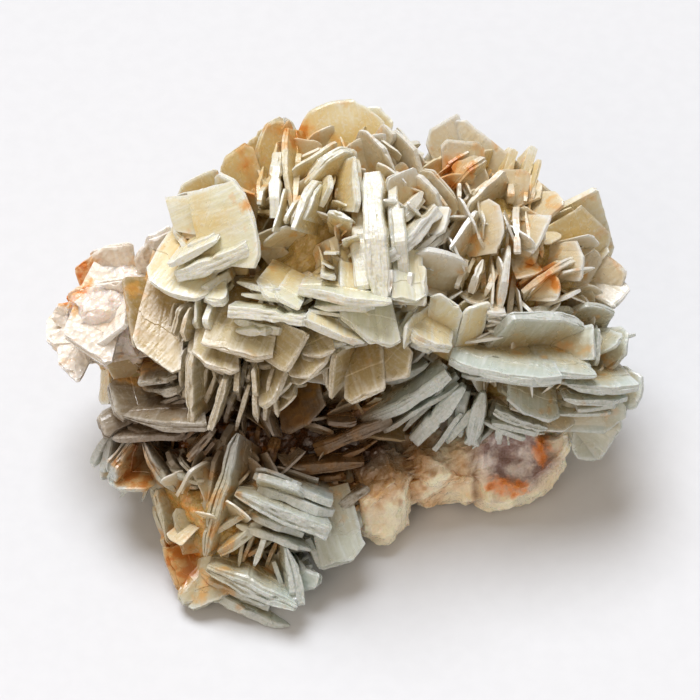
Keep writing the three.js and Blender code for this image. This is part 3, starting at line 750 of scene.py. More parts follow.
class Shell:
    """Collects points, faces and their numbers for one piece."""

    def __init__(self) -> None:
        """Start with nothing in the shell."""
        self.points: list[np.ndarray] = []
        self.faces: list[list[int]] = []
        self.plane: list[np.ndarray] = []
        self.numbers: dict[str, list[np.ndarray]] = {"edge": [], "tint": [], "layer": []}
        self.count = 0

    def take(
        self, points: np.ndarray, quads: np.ndarray, caps: list[np.ndarray], plane: np.ndarray,
        **numbers: np.ndarray,
    ) -> None:
        """Add one closed shape.

        Args:
            points: Its corners in millimetres.
            quads: Its four-sided faces.
            caps: Its end faces.
            plane: Each corner's place in the blade's own plane.
            numbers: The values of edge, tint and layer at each corner.
        """
        self.points.append(points)
        self.faces += (quads + self.count).tolist()
        self.faces += [(cap + self.count).tolist() for cap in caps]
        self.plane.append(plane)
        for name, values in numbers.items():
            self.numbers[name].append(values)
        self.count += len(points)

    def mesh(self, name: str) -> bpy.types.Mesh:
        """Write the collected shapes as one mesh in metres.

        Args:
            name: The mesh's name.

        Returns:
            The mesh, with its numbers and the places in the blades' own planes.
        """
        made = bpy.data.meshes.new(name)
        made.from_pydata((np.vstack(self.points) * MM).tolist(), [], self.faces)
        for key, parts in self.numbers.items():
            store(made, key, np.concatenate(parts))
        plane = np.vstack(self.plane)
        corners = np.empty(len(made.loops), dtype=np.int32)
        made.loops.foreach_get("vertex_index", corners)
        made.uv_layers.new(name="plate").data.foreach_set("uv", plane[corners].astype(np.float32).ravel())
        return made


def ragged(count: int, spacing: float, size: float, rng: random.Random) -> np.ndarray:
    """Give a jagged line: coarse breaks with finer teeth on them.

    Args:
        count: How many points the line has.
        spacing: Millimetres between points.
        size: How far the coarse breaks go, in millimetres.
        rng: The source of random numbers.

    Returns:
        How far each point is set back, from 0 upwards.
    """
    length = count * spacing
    knots = max(2, int(length / 2.2))
    heights = [rng.random() ** 1.6 for _ in range(knots + 1)]
    coarse = np.interp(np.arange(count), np.linspace(0, count - 1, knots + 1), heights)
    fine = np.array([rng.random() for _ in range(count)])
    line = size * coarse + 0.2 * size * fine
    if rng.random() < 0.35:
        middle = rng.uniform(0.1, 0.9) * count
        width = rng.uniform(0.6, 1.6) / spacing
        line += rng.uniform(0.5, 2.0) * size * np.clip(1 - np.abs(np.arange(count) - middle) / width, 0, 1)
    return line


class BladeMaker:
    """Makes each blade as one closed plate with a stepped, broken rim and a growth step on its face."""

    COLUMN = 0.45
    SIBLING_COLUMN = 0.8
    NEAR_RIM = (0.35, 1.2)
    FAR_LEVELS = (0.4, 0.7, 1.0)
    TAPER = 0.1
    LAYER = 0.6
    CORNERS = ((0.03, 0.03), (0.16, 0.1), (0.4, 0.2))
    TIPS = (0.3, 0.75, 0.9)
    STEEP = 0.25

    def __init__(self, shell: Shell, habit: Habit, seed: int, siblings: int = 0, crossing: int = 0) -> None:
        """Set up the maker.

        Args:
            shell: Where blades go.
            habit: How ragged they are.
            seed: The seed of everything random.
            siblings: How many smaller blades grow beside each.
            crossing: How many smaller blades grow across each.
        """
        self.shell = shell
        self.siblings = siblings
        self.crossing = crossing
        self.habit = habit
        self.rng = random.Random(seed)

    def grow_family(self, blade: Blade) -> None:
        """Add a blade, smaller ones nearly parallel to it further back, and some that cross it.

        Args:
            blade: The blade, in layout axes.
        """
        self.grow(blade)
        rng = self.rng
        start = np.array(blade.start)
        end = np.array(blade.end)
        back = np.array(blade.back) / np.linalg.norm(blade.back)
        run = (end - start) / np.linalg.norm(end - start)
        normal = np.cross(run, back)
        normal /= np.linalg.norm(normal)
        length = float(np.linalg.norm(end - start))
        for number in range(self.siblings):
            sign = 1 if number % 2 else -1
            if abs(normal[2]) > self.STEEP:
                sign = -1 if normal[2] > 0 else 1
            side = sign * (0.5 * blade.thick + rng.uniform(0.7, 1.7) * (1 + number // 2))
            setback = back * rng.uniform(1.5, 6.5)
            slide = run * rng.uniform(-0.2, 0.2) * length
            shrink = 0.5 * rng.uniform(0.05, 0.3 if length < 10 else 0.65) * (end - start)
            turned = back + normal * rng.uniform(-0.12, 0.12) + run * rng.uniform(-0.15, 0.15)
            swing = normal * rng.uniform(-0.5, 0.5)
            sibling = Blade(
                tuple(start + normal * side + setback + slide + shrink + swing),
                tuple(end + normal * side + setback + slide - shrink - swing),
                tuple(turned), blade.reach, max(0.55, rng.uniform(0.35, 0.75) * blade.thick),
            )
            self.grow(sibling, coarse=True)
        for _ in range(self.crossing):
            turn = rng.uniform(0.7, 1.4) * rng.choice((-1, 1))
            way = run * math.cos(turn) + normal * math.sin(turn)
            half = rng.uniform(3.0, 5.0)
            middle = 0.5 * (start + end) + run * rng.uniform(-0.35, 0.35) * length
            middle = middle + back * rng.uniform(6.0, 9.0)
            behind = -normal if normal[2] > 0 else normal
            if abs(normal[2]) > self.STEEP:
                middle = middle + behind * (half * abs(math.sin(turn)) + 0.8)
            ends = (tuple(middle - way * half), tuple(middle + way * half))
            self.grow(Blade(*ends, tuple(back), 9.0, rng.uniform(0.6, 1.1)), coarse=True)

    def grow(self, blade: Blade, coarse: bool = False) -> None:
        """Add one blade.

        Args:
            blade: The blade, in layout axes.
            coarse: Whether it gets fewer faces, as one that stands behind others.
        """
        start = LAYOUT.seen(blade.start)
        run = LAYOUT.seen(blade.end) - start
        length = float(np.linalg.norm(run))
        along = run / length
        inward = LAYOUT.heading(blade.back)
        inward /= np.linalg.norm(inward)
        normal = np.cross(along, inward)
        normal /= np.linalg.norm(normal)
        across = np.cross(normal, along)
        lean = float(inward @ along) * blade.reach
        depth = float(inward @ across) * blade.reach
        self.plate(start, (along, across, normal), (length, lean, depth, blade.thick), blade.bow, coarse)

    def plate(
        self, start: np.ndarray, basis: tuple[np.ndarray, ...], sizes: tuple[float, ...], bow: float,
        coarse: bool,
    ) -> None:
        """Add one plate.

        Args:
            start: Where its rim starts, in millimetres.
            basis: Its directions along the rim, back from it and square to its plane.
            sizes: Its rim length, the shift of its root along the rim, its depth and its thickness.
            bow: How far the middle of the rim stands out; negative for a pointed rim.
            coarse: Whether it gets fewer faces.
        """
        rng = self.rng
        length, lean, depth, thick = sizes
        columns = max(5, int(length / (self.SIBLING_COLUMN if coarse else self.COLUMN)))
        part = np.linspace(0.0, 1.0, columns + 1)
        line = -bow * np.sin(math.pi * part)
        for along in (part, 1 - part):
            width, height = rng.choice(self.CORNERS)
            size = rng.uniform(0.6, 1.3)
            line += np.maximum(size * height * depth * (1 - along / (size * width)), 0.0)
        layers = 1 if coarse else max(1, round(thick / self.LAYER))
        splits = np.cumsum([0.0] + [rng.uniform(0.5, 1.5) for _ in range(layers)])
        splits = splits / splits[-1] - 0.5
        rough = self.habit.value
        stagger = rough if layers > 1 else 0.0
        rims = [
            line + ragged(columns + 1, length / columns, rough, rng) + rng.random() ** 2 * stagger
            for _ in range(layers)
        ]
        drop = 0.0 if coarse else rng.uniform(0.06, 0.16)
        step = rng.uniform(0.2, 0.45) * depth + 3 * ragged(columns + 1, length / columns, rough, rng)
        swell = np.ones(columns + 1)
        for along in (part, 1 - part):
            tip = rng.choice(self.TIPS)
            swell *= tip + (1 - tip) * np.clip(along / rng.uniform(0.12, 0.5), 0, 1) ** 0.7
        swell *= 1.1 - 0.3 * ragged(columns + 1, length / columns, 1.0, rng)
        half = 0.5 * thick * swell
        rows: list[tuple[np.ndarray, np.ndarray]] = []
        for level in reversed(self.FAR_LEVELS):
            rows.append((rims[-1] + (depth - rims[-1]) * level, half))
        if not coarse:
            rows.append((np.minimum(rims[-1] + step + 0.12, 0.39 * depth), half))
            rows.append((np.minimum(rims[-1] + step, 0.38 * depth), half - drop))
        for reach in reversed(self.NEAR_RIM):
            rows.append((rims[-1] + reach, 0.94 * half - drop))
        for layer in reversed(range(layers)):
            for height in (splits[layer + 1], splits[layer]):
                rows.append((rims[layer], height * thick * swell * 0.75))
        for reach in self.NEAR_RIM:
            rows.append((rims[0] + reach, -0.94 * half))
        for level in self.FAR_LEVELS:
            rows.append((rims[0] + (depth - rims[0]) * level, -half))
        rise = np.array([row[0] for row in rows])
        height = np.array([row[1] for row in rows])
        fraction = rise / depth
        waves = [rng.uniform(0.6, 2.2) for _ in range(4)]
        taper = self.TAPER * length
        sway = 0.4 * rough
        left = fraction * (lean + taper) + sway * np.sin(rise * waves[0] + 7 * waves[1])
        right = length + fraction * (lean - taper) + sway * np.sin(rise * waves[2] + 7 * waves[3])
        slide = left + (right - left) * part[None, :]
        warp = 0.12 * np.sin(slide * 0.3 * waves[0] + 6 * waves[1]) + 0.08 * np.sin(rise * 0.6 * waves[2])
        points = start + slide[..., None] * basis[0] + rise[..., None] * basis[1]
        points = points + (height + warp)[..., None] * basis[2]
        nearest_rim = np.min(np.array(rims), axis=0)
        edge = np.minimum(rise - nearest_rim[None, :], np.minimum(slide - left, right - slide))
        plane = np.stack([slide + rng.uniform(0, 50), rise], axis=-1)
        tint = np.full(edge.size, rng.random())
        quads, caps = loft(len(rows), columns + 1)
        self.shell.take(
            points.reshape(-1, 3), quads, caps, plane.reshape(-1, 2),
            edge=np.clip(edge, 0, None).ravel(), tint=tint, layer=(height + rng.uniform(0, 9)).ravel(),
        )


def loft(rows: int, columns: int) -> tuple[np.ndarray, list[np.ndarray]]:
    """Give the faces of a closed profile drawn along a row of columns.

    Args:
        rows: Points round the profile.
        columns: How many profiles follow each other.

    Returns:
        The quads between profiles, and the two end faces.
    """
    index = np.arange(rows * columns).reshape(rows, columns)
    below = np.roll(index, -1, axis=0)
    quads = np.stack([index[:, :-1], below[:, :-1], below[:, 1:], index[:, 1:]], axis=-1).reshape(-1, 4)
    return quads, [index[::-1, 0], index[:, -1]]


def store(mesh: bpy.types.Mesh, name: str, values: np.ndarray) -> None:
    """Store one number for each point of a mesh, under this name."""
    layer = mesh.attributes.get(name) or mesh.attributes.new(name, "FLOAT", "POINT")
    layer.data.foreach_set("value", values.astype(np.float32))


def places(mesh: bpy.types.Mesh) -> np.ndarray:
    """Read where a mesh's points are.

    Args:
        mesh: The mesh, in metres.

    Returns:
        The points in millimetres, one row each.
    """
    flat = np.empty(len(mesh.vertices) * 3, dtype=np.float32)
    mesh.vertices.foreach_get("co", flat)
    return flat.reshape(-1, 3).astype(float) / MM


def clear_below_ground(mesh: bpy.types.Mesh) -> None:
    """Cut away what lies under the ground plane, and close the cut.

    Args:
        mesh: The mesh to cut, in metres.
    """
    work = bmesh.new()
    work.from_mesh(mesh)
    if min(v.co.z for v in work.verts) < 0:
        everything = work.verts[:] + work.edges[:] + work.faces[:]
        cut = bmesh.ops.bisect_plane(
            work, geom=everything, plane_co=(0, 0, 0), plane_no=(0, 0, 1), clear_inner=True,
        )
        rims = [item for item in cut["geom_cut"] if isinstance(item, bmesh.types.BMEdge)]
        bmesh.ops.holes_fill(work, edges=rims, sides=0)
        work.to_mesh(mesh)
    work.free()


def dress(mesh: bpy.types.Mesh, material: bpy.types.Material) -> bpy.types.Object:
    """Make the finished piece of a mesh: linked, dressed and riding on the specimen.

    Args:
        mesh: The mesh, in metres, with the piece's name.
        material: What it is made of.

    Returns:
        The piece.
    """
    mesh.materials.clear()
    mesh.materials.append(material)
    piece = put_in_scene(mesh.name, mesh)
    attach(piece, BODY)
    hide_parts(NODE)
    LOG.info("%s: %d faces", piece.name, len(mesh.polygons))
    return piece


def staining(points: np.ndarray, lumps: tuple[Lump, ...], reach: float) -> np.ndarray:
    """Give how stained points are: 1 on the lumps, 0 beyond reach from them."""
    nearest = np.min([lump.nearness(points) for lump in lumps], axis=0)
    return np.clip(1.0 - nearest / reach, 0.0, 1.0)


def creases(points: np.ndarray) -> np.ndarray:
    """Give how near points are to where two knobs of the matrix meet: 1 where they meet, 0 off it."""
    near = np.sort([lump.nearness(points) for lump in MATRIX], axis=0)
    return np.clip(1 - (near[1] - near[0]) / 1.2, 0, 1) * np.clip(1.3 - near[0] / 2, 0, 1)


def gloom(points: np.ndarray) -> np.ndarray:
    """Give how much painted shade points get in the recess, from 0 to 1."""
    return np.clip(1 - RECESS_SHADE.nearness(points) / 5.0, 0, 1)


def mark_growth(
    mesh: bpy.types.Mesh, deep_reach: float, rust_reach: float, rust_most: float, stain_most: float,
) -> None:
    """Store how deep and how rusty each point of a mesh of blades is, and how much painted shade it gets.

    Args:
        mesh: The blades.
        deep_reach: How far out of the cores blades still count as deep, in millimetres.
        rust_reach: How far out of the cores they are rusty, in millimetres.
        rust_most: How rusty they are at a core.
        stain_most: How rusty they are in a stain.
    """
    points = places(mesh)
    store(mesh, "deep", staining(points, GROWN_CORES, deep_reach))
    rust = rust_most * staining(points, GROWN_CORES, rust_reach)
    store(mesh, "rust", np.maximum(rust, stain_most * staining(points, STAINS, STAIN_REACH)))
    # Painted shade in the recess
    store(mesh, "gloom", gloom(points))


def chance(index: int, channel: int) -> float:
    """Give a repeatable number from 0 to 1 for an index and a channel."""
    wave = abs(math.sin(index * 12.9898 + channel * 78.233)) * 43758.5453
    return wave - math.floor(wave)


@dataclass
class BladeGroup:
    """One sub-assembly of blades that share a finish."""

    name: str
    blades: tuple[Blade, ...]
    finish: BariteFinish
    habit: Habit = Habit.LAYERED
    seed: int = 1
    deep_reach: float = 9.0
    rust_reach: float = 5.0
    rust_most: float = 0.6
    siblings: int = 4
    crossing: int = 2

    def build(self) -> bpy.types.Object:
        """Grow the group's blades and dress them.

        Returns:
            All of them, as one piece.
        """
        shell = Shell()
        maker = BladeMaker(shell, self.habit, self.seed, self.siblings, self.crossing)
        for blade in self.blades:
            maker.grow_family(blade)
        mesh = shell.mesh(self.name)
        mark_growth(mesh, self.deep_reach, self.rust_reach, self.rust_most, 0.9)
        keep_inside(mesh)
        clear_below_ground(mesh)
        return dress(mesh, self.finish.material())


@dataclass
class BackBooks:
    """Blades of the back and sides: books of a few plates side by side, turned about one heading."""

    fields: tuple[tuple[Lump, int, int], ...]
    plates: int = 2
    spacing: float = 3.2
    front_limit: float = -0.12
    lowest: float = 14.0

    def blades(self) -> tuple[Blade, ...]:
        """Work out the plates of every book.

        Returns:
            The plates, in layout axes.
        """
        grown = []
        for lump, count, seed in self.fields:
            for i in range(count):
                rise = 1 - (2 * i + 1) / count
                turn = i * math.pi * (3 - math.sqrt(5))
                width = math.sqrt(1 - rise * rise)
                way = np.array([width * math.cos(turn), width * math.sin(turn), rise])
                spot = np.array(lump.at) + way * np.array(lump.radii)
                if way[2] > self.front_limit or LAYOUT.seen(tuple(spot))[2] < self.lowest:
                    continue
                grown += self.book(spot, way, seed + i, seed + i * self.plates)
        return tuple(grown)

    def book(self, spot: np.ndarray, way: np.ndarray, pick: int, first: int) -> list[Blade]:
        """Work out one book of plates.

        Args:
            spot: Its middle, in layout axes.
            way: Its heading, out of the cluster.
            pick: The number its turn is drawn with.
            first: The number its first plate is drawn with.

        Returns:
            Its plates.
        """
        tilt = math.pi * chance(pick, 6)
        side = np.array([-way[1], way[0], 0.0])
        side /= np.linalg.norm(side)
        over = np.cross(way, side)
        rim = side * math.cos(tilt) + over * math.sin(tilt)
        stack = np.cross(way, rim)
        found = []
        for plate in range(self.plates):
            draw = first + plate
            half = 3.5 + 4 * chance(draw, 7)
            offset = (plate - (self.plates - 1) / 2) * self.spacing
            middle = spot + stack * offset - way * 1.5 * abs(offset) * chance(draw, 8)
            back = -way + stack * 0.5 * (chance(draw, 9) - 0.5)
            thick = 1.1 + 0.8 * chance(draw, 10)
            ends = (tuple(middle - rim * half), tuple(middle + rim * half))
            found.append(Blade(*ends, tuple(back), 14, thick))
        return found


@dataclass
class Core:
    """The massive barite and rock that everything grows from, as one broken surface."""

    name: str = "massive_core"
    voxel: float = 0.75
    shrink: float = 0.96
    flats: int = 18
    boulder: float = 6.5
    boulder_depth: float = 2.4
    cobble: float = 2.4
    cobble_depth: float = 0.9
    grit: float = 0.7
    grit_depth: float = 0.25

    def lump_mesh(self, work: bmesh.types.BMesh, lump: Lump) -> None:
        """Add one faceted lump to a mesh in the making.

        Args:
            work: The mesh in the making.
            lump: The lump.
        """
        normals = []
        offsets = []
        for i in range(self.flats):
            height = 2 * chance(lump.seed + i, 3) - 1
            turn = 2 * math.pi * chance(lump.seed + i, 4)
            width = math.sqrt(1 - height * height)
            normals.append((width * math.cos(turn), width * math.sin(turn), height))
            offsets.append(1 - lump.depth * chance(lump.seed + i, 5))
        ball = bmesh.ops.create_icosphere(work, subdivisions=4, radius=1.0)
        for vert in ball["verts"]:
            way = np.array(vert.co.normalized())
            facing = np.array(normals) @ way
            size = min([1.0] + [o / f for o, f in zip(offsets, facing) if f > 0])
            off = LAYOUT.heading(tuple(way * size * np.array(lump.radii) * self.shrink))
            vert.co = Vector((off + LAYOUT.seen(lump.at)) * MM)

    def roughen(self, mesh: bpy.types.Mesh) -> None:
        """Break the surface up into cobbles and grit, and press the hollow in.

        Args:
            mesh: The joined lumps, in metres.
        """
        points = places(mesh)
        normals = np.empty(len(mesh.vertices) * 3, dtype=np.float32)
        mesh.vertices.foreach_get("normal", normals)
        normals = normals.reshape(-1, 3)
        heft = 1 - 0.45 * staining(points, MATRIX, 4.0)
        dent = np.clip(-HOLLOW.nearness(points), 0, None)
        points = points - dent[:, None] * 0.9 * LAYOUT.heading((0, 0.2, 1))
        points = points - (0.9 * creases(points))[:, None] * normals
        for i, point in enumerate(points):
            spot = Vector(point)
            low = noise.voronoi(spot / self.cobble)[0][0] * self.cobble_depth
            low += noise.voronoi(spot / self.boulder)[0][0] * self.boulder_depth * heft[i]
            fine = noise.noise(spot / self.grit) * self.grit_depth
            points[i] = point - normals[i] * low + normals[i] * fine
        mesh.vertices.foreach_set("co", (points * MM).astype(np.float32).ravel())
        mesh.update()

    def build(self) -> bpy.types.Object:
        """Join the lumps in one skin, roughen it and dress it.

        Returns:
            The piece.
        """
        work = bmesh.new()
        for lump in (*GROWN_CORES, *BARE_CORES, *HOLLOW_RIM, DRUSE_FACE):
            self.lump_mesh(work, lump)
        rough = bpy.data.meshes.new(self.name + "_lumps")
        work.to_mesh(rough)
        work.free()
        holder = put_in_scene(rough.name, rough)
        skin = holder.modifiers.new("skin", "REMESH")
        skin.mode = "VOXEL"
        skin.voxel_size = self.voxel * MM
        seen_by = bpy.context.evaluated_depsgraph_get()
        mesh = bpy.data.meshes.new_from_object(holder.evaluated_get(seen_by))
        bpy.data.objects.remove(holder)
        mesh.name = self.name
        self.roughen(mesh)
        points = places(mesh)
        grown = staining(points, GROWN_CORES, 2.5)
        hollow = staining(points, (HOLLOW,), 3.0)
        amber = 0.4 * staining(points, (FOOT_CORE,), 2.5)
        stains = 0.8 * staining(points, STAINS, 1.5)
        store(mesh, "rust", np.maximum.reduce([0.1 * grown, amber, 0.1 * hollow, stains]))
        store(mesh, "bruise", hollow)
        # Painted shade in the creases where the knobs meet
        store(mesh, "crease", 0.8 * creases(points))
        bare = (*MATRIX, DRUSE_FACE)
        rock = np.min([lump.nearness(points) for lump in bare], axis=0)
        growth = grown * np.clip(rock / 3.0, 0, 1) * np.clip((points[:, 2] - 8) / 6, 0, 1)
        facing = np.clip(LAYOUT.local(points, (0, 8, -2))[:, 2] / 3.0 + 0.5, 0, 1)
        store(mesh, "honey", grown * np.clip(rock / 3.0, 0, 1))
        store(mesh, "pale", staining(points, HOLLOW_RIM, 1.5))
        # Painted shade in the recess
        store(mesh, "gloom", gloom(points))
        store(mesh, "druse", np.clip(1.5 - DRUSE_FACE.nearness(points) / 2.0, 0, 1))
        store(mesh, "growth_front", growth * facing)
        store(mesh, "growth_back", growth * (1 - facing))
        clear_below_ground(mesh)
        return dress(mesh, RockFinish("stained massive barite, broken").material())


@dataclass
class Lamellae:
    """Small blades that grow all over the core between the large ones, set by Geometry Nodes."""

    name: str
    finish: BariteFinish
    density: float = 55000.0
    spacing: float = 2.3
    smallest: float = 0.5
    largest: float = 1.0
    lean: float = 0.35
    family: float = 9.0
    seed: int = 5
    growth: str = "growth_front"

    def prototype(self, seed: int) -> bpy.types.Object:
        """Make one small blade that stands on the origin, along +Z.

        Args:
            seed: The seed of its broken rim.

        Returns:
            The blade, about 7 mm wide and high.
        """
        shell = Shell()
        width, height, thick = 7.0, 7.0, 0.7
        basis = (np.array((-1.0, 0.0, 0.0)), np.array((0.0, 0.0, -1.0)), np.array((0.0, -1.0, 0.0)))
        start = np.array((width / 2, 0.0, height))
        maker = BladeMaker(shell, Habit.LAYERED, seed)
        maker.plate(start, basis, (width, 0.0, height + 1.0, thick), 0.0, coarse=True)
        title = f"{self.name}_seedling"
        return put_in_scene(title, shell.mesh(title))

    def tree(self, material: bpy.types.Material) -> bpy.types.GeometryNodeTree:
        """Build the node tree that stands small blades on a surface.

        Args:
            material: What they are made of.

        Returns:
            The node tree, with their spacing, density, sizes, lean and seed as inputs.
        """
        made = bpy.data.node_groups.new(self.name, "GeometryNodeTree")
        made.is_modifier = True
        face = made.interface
        face.new_socket("Surface", in_out="INPUT", socket_type="NodeSocketGeometry")
        face.new_socket("Seedling", in_out="INPUT", socket_type="NodeSocketObject")
        for title in ("Spacing", "Density", "Smallest", "Largest", "Lean"):
            face.new_socket(title, in_out="INPUT", socket_type="NodeSocketFloat")
        face.new_socket("Seed", in_out="INPUT", socket_type="NodeSocketInt")
        face.new_socket("Blades", in_out="OUTPUT", socket_type="NodeSocketGeometry")
        given = add(made, "NodeGroupInput").outputs
        growth = add(made, "GeometryNodeInputNamedAttribute", {"Name": self.growth}, data_type="FLOAT")
        spots = add(
            made, "GeometryNodeDistributePointsOnFaces",
            {
                "Mesh": given["Surface"], "Distance Min": given["Spacing"], "Density Max": given["Density"],
                "Density Factor": growth.outputs[0], "Seed": given["Seed"],
            },
            distribute_method="POISSON",
        )
        sizes = add(
            made, "FunctionNodeRandomValue",
            {2: given["Smallest"], 3: given["Largest"], "Seed": given["Seed"]}, data_type="FLOAT",
        )
        negative = work(made, Step.PRODUCT, given["Lean"], -1.0)
        lowest = add(made, "ShaderNodeCombineXYZ", {"X": negative, "Y": negative, "Z": negative}).outputs[0]
        lean = given["Lean"]
        highest = add(made, "ShaderNodeCombineXYZ", {"X": lean, "Y": lean, "Z": lean})
        turns = add(
            made, "FunctionNodeRandomValue",
            {0: lowest, 1: highest.outputs[0], "Seed": given["Seed"]}, data_type="FLOAT_VECTOR",
        )
        place = add(made, "GeometryNodeInputPosition").outputs[0]
        families = add(made, NOISE, {"Vector": place, "Scale": 1 / (self.family * MM), "Detail": 0.0})
        heading = work(made, Step.PRODUCT, families.outputs["Fac"], 4 * math.pi)
        shared = add(made, "ShaderNodeCombineXYZ", {"Z": heading}).outputs[0]
        both = add(made, "ShaderNodeVectorMath", {0: turns.outputs[0], 1: shared}, operation="ADD").outputs[0]
        turned = add(
            made, "FunctionNodeRotateRotation",
            {"Rotation": spots.outputs["Rotation"], "Rotate By": both}, rotation_space="LOCAL",
        )
        seedling = add(made, "GeometryNodeObjectInfo", {"Object": given["Seedling"]})
        blades = add(
            made, "GeometryNodeInstanceOnPoints",
            {
                "Points": spots.outputs["Points"], "Instance": seedling.outputs["Geometry"],
                "Rotation": turned.outputs[0], "Scale": sizes.outputs[1],
            },
        )
        shade = add(made, "FunctionNodeRandomValue", {"Seed": given["Seed"]}, data_type="FLOAT")
        marked = add(
            made, "GeometryNodeStoreNamedAttribute",
            {"Geometry": blades.outputs[0], "Name": "tint", "Value": shade.outputs[1]},
            data_type="FLOAT", domain="INSTANCE",
        )
        solid = add(made, "GeometryNodeRealizeInstances", {"Geometry": marked.outputs[0]})
        dressed = add(made, "GeometryNodeSetMaterial", {"Geometry": solid.outputs[0], "Material": material})
        add(made, "NodeGroupOutput", {"Blades": dressed.outputs[0]})
        return made

    def build(self, core: bpy.types.Object) -> bpy.types.Object:
        """Grow the small blades on the core.

        Args:
            core: The piece they grow on, whose mesh says where in its growth attribute.

        Returns:
            All of them, as one piece.
        """
        material = self.finish.material()
        tree = self.tree(material)
        work = bmesh.new()
        for variant in range(3):
            seedling = self.prototype(self.seed * 10 + variant)
            holder = put_in_scene("growth", core.data.copy())
            grower = holder.modifiers.new("growth", "NODES")
            grower.node_group = tree
            wanted = {
                "Seedling": seedling, "Spacing": self.spacing * MM * math.sqrt(3), "Density": self.density,
                "Smallest": self.smallest, "Largest": self.largest, "Lean": self.lean,
                "Seed": self.seed * 10 + variant,
            }
            for item in tree.interface.items_tree:
                if item.in_out == "INPUT" and item.name in wanted:
                    grower[item.identifier] = wanted[item.name]
            seen_by = bpy.context.evaluated_depsgraph_get()
            grown = bpy.data.meshes.new_from_object(holder.evaluated_get(seen_by))
            work.from_mesh(grown)
            for used in (holder, seedling):
                bpy.data.objects.remove(used)
        mesh = bpy.data.meshes.new(self.name)
        work.to_mesh(mesh)
        work.free()
        keep_inside(mesh)
        mark_growth(mesh, 7.0, 3.0, 0.4, 0.8)
        clear_below_ground(mesh)
        return dress(mesh, material)


def keep_inside(mesh: bpy.types.Mesh) -> None:
    """Draw points back that reach past the specimen's box.

    Args:
        mesh: The mesh, in metres.
    """
    low, high = (np.array(corner) / MM for corner in CAD_BOX)
    points = places(mesh)
    points[:, :2] = np.clip(points[:, :2], low[:2], high[:2])
    points[:, 2] = np.minimum(points[:, 2], high[2])
    mesh.vertices.foreach_set("co", (points * MM).astype(np.float32).ravel())


@dataclass
class Studio:
    """Plain pale floor, soft light from the upper left and behind, and the photograph's camera."""

    floor_size: float = 4.0
    floor_gap: float = 0.0002
    floor_colour: str = "#D3D6DA"
    floor_shade: str = "#D1D4D8"
    sun_way: Triple = (-0.2, 0.45, 1.0)
    sun_strength: float = 3.3
    sun_angle: float = 36.0
    sky_strength: float = 0.42
    fill_power: float = 1.5
    fill_size: float = 0.5
    fill_place: Triple = (-0.35, -0.6, 0.55)

    def build(self) -> None:
        """Make the floor, the lights and the camera."""
        self.floor()
        self.lights()
        self.camera()

    def floor(self) -> None:
        """Lay the floor just under the specimen."""
        half = self.floor_size / 2
        mesh = bpy.data.meshes.new("studio_floor")
        corners = [(-half, -half, 0), (half, -half, 0), (half, half, 0), (-half, half, 0)]
        mesh.from_pydata(corners, [], [(0, 1, 2, 3)])
        # Matt and faintly clouded, so it takes soft shadows and no glare
        made = blank_material("matt white card")
        tree = made.node_tree
        clouds = pattern(tree, NOISE, 3.0, Detail=3.0)
        tone = painted(tree, self.floor_shade, [(clouds, 0.3, 0.7, 1.0, self.floor_colour)])
        feed(tree, tree.nodes["Principled BSDF"], {"Base Color": tone, "Roughness": 0.7})
        mesh.materials.append(made)
        floor = put_in_scene("studio_floor", mesh)
        floor.location.z = -self.floor_gap

    def lights(self) -> None:
        """Set a soft sun, a pale sky and a weak fill from the front."""
        scene = bpy.context.scene
        world = bpy.data.worlds.new("studio_sky")
        world.use_nodes = True
        sky = world.node_tree.nodes["Background"]
        sky.inputs["Color"].default_value = hex_linear("#FFF0E0")
        sky.inputs["Strength"].default_value = self.sky_strength
        scene.world = world
        sun = bpy.data.lights.new("key_sun", "SUN")
        sun.energy = self.sun_strength
        sun.angle = math.radians(self.sun_angle)
        sun.color = hex_linear("#F8FAFF")[:3]
        holder = put_in_scene("key_sun", sun)
        holder.rotation_euler = Vector(self.sun_way).to_track_quat("Z", "Y").to_euler()
        fill = bpy.data.lights.new("front_fill", "AREA")
        fill.energy = self.fill_power
        fill.size = self.fill_size
        fill.color = hex_linear("#FFE8D2")[:3]
        panel = put_in_scene("front_fill", fill)
        panel.location = self.fill_place
        panel.rotation_euler = Vector(self.fill_place).to_track_quat("Z", "Y").to_euler()
        scene.view_settings.view_transform = "Standard"

    def camera(self) -> None:
        """Stand the camera where the photograph was taken from."""
        lens = bpy.data.cameras.new("photo_camera")
        lens.sensor_width = SENSOR_WIDTH
        lens.lens = SENSOR_WIDTH * LAYOUT.distance / PHOTO_SPAN
        lens.clip_start = 0.01
        camera = put_in_scene("photo_camera", lens)
        toward = Vector(LAYOUT.heading((0, 0, 1)))
        camera.location = (Vector(LAYOUT.centre) + toward * LAYOUT.distance) * MM
        camera.rotation_euler = toward.to_track_quat("Z", "Y").to_euler()
        bpy.context.scene.camera = camera


# Cleaved blades are smooth and pearly on the face, and sugary white where the rim is broken
# The crown's blades: warm and milky, honey-coloured between them
CREAM = BariteFinish("cleaved barite, cream", "#F6FAF6", "#E9EBD2", "#F3E5BA", "#E2C67E", "#DA8208")
# The crown's right side and the shoulder: whiter, with less honey
IVORY = BariteFinish(
    "cleaved barite, ivory", "#F6F9F6", "#E6E8E0", "#F1E8D4", "#E2D0A4", "#D67C04", inner_honey=0.35,
)
# The fan and the foot: cool and the most see-through, the only ones with a breath of blue
ICE = BariteFinish(
    "cleaved barite, pale blue-green", "#F4FBF9", "#D2E0D9", "#E0E3D3", "#D2C193", "#CC7000", clear=0.35,
)
# The fringe along the base: beige, with iron in its layers
OLIVE = BariteFinish(
    "cleaved barite, beige", "#F0EADC", "#C6BB98", "#CFB880", "#AC8A44", "#B86404", clear=0.22,
)
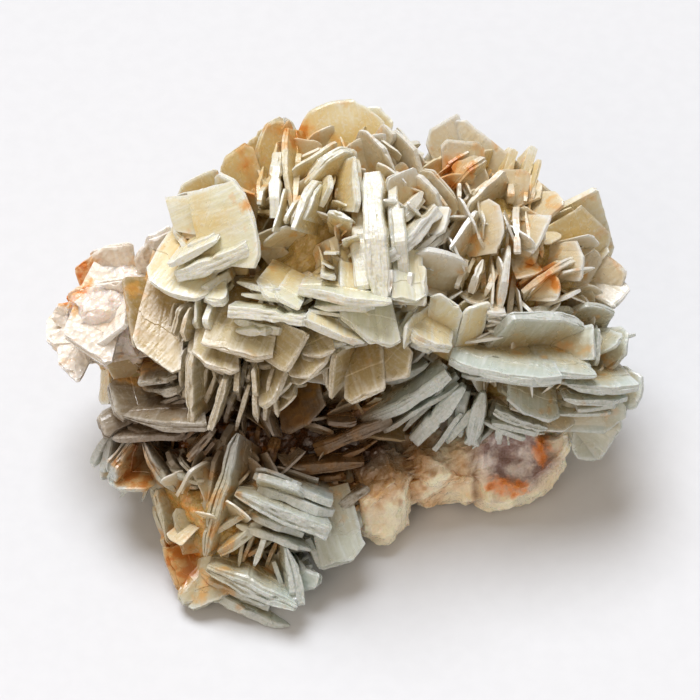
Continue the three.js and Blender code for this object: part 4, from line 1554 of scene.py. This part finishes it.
# The recess: blades in shadow, given dull grey-brown colours as painted shade
SHADED_GREY = BariteFinish(
    "cleaved barite, grey", "#DDD8CC", "#A8A08E", "#AA966E", "#7E6034", "#7E4410", clear=0.35,
    honey_start=0.1,
)
# The left lobe: tiny crystal tips that glitter like sugar
DRUSE = BariteFinish(
    "druse of tiny barite crystals", "#FFFFFE", "#F2EEEA", "#F0E6D8", "#EEE0C8", "#DA7800", honey_most=0.4,
    clear=0.05, inner_honey=0.05, sparkle=0.8,
)


def main() -> None:
    """Build the specimen piece by piece, and the studio round it."""
    logging.basicConfig(level=logging.INFO, format="%(message)s")
    Studio().build()
    back = BackBooks(BACK_FIELDS).blades()
    lobe_back = BackBooks(LOBE_FIELDS).blades()
    groups = (
        BladeGroup("crown_blades", CROWN_LEFT + CROWN_FRONT, CREAM, Habit.LAYERED, 11, rust_most=0.35),
        BladeGroup("crown_right_blades", CROWN_RIGHT, IVORY, Habit.LAYERED, 12, rust_most=0.3),
        BladeGroup("shoulder_blades", SHOULDER_RIGHT, IVORY, Habit.LAYERED, 13, rust_most=0.4),
        BladeGroup("fan_blades", FAN, ICE, Habit.LAYERED, 14, rust_most=0.4),
        BladeGroup("fringe_blades", FRINGE, OLIVE, Habit.LAYERED, 15, rust_most=0.5),
        BladeGroup("recess_blades", RECESS, SHADED_GREY, Habit.RAGGED, 16, rust_most=0.9),
        BladeGroup("foot_blades", FOOT, ICE, Habit.RAGGED, 17, rust_most=0.45, crossing=3),
        BladeGroup("lobe_blades", LOBE, DRUSE, Habit.RAGGED, 18, rust_most=0.1, siblings=1, crossing=0),
        BladeGroup("back_blades", back, CREAM, Habit.LAYERED, 19, rust_most=0.3),
        BladeGroup("lobe_back_blades", lobe_back, DRUSE, Habit.RAGGED, 20, rust_most=0.3),
    )
    for group in groups:
        group.build()
    core = Core().build()
    Lamellae("small_lamellae", IVORY).build(core)
    Lamellae(
        "back_lamellae", CREAM, spacing=2.2, smallest=0.5, largest=1.1, seed=6, growth="growth_back",
    ).build(core)


if __name__ == "__main__":
    main()
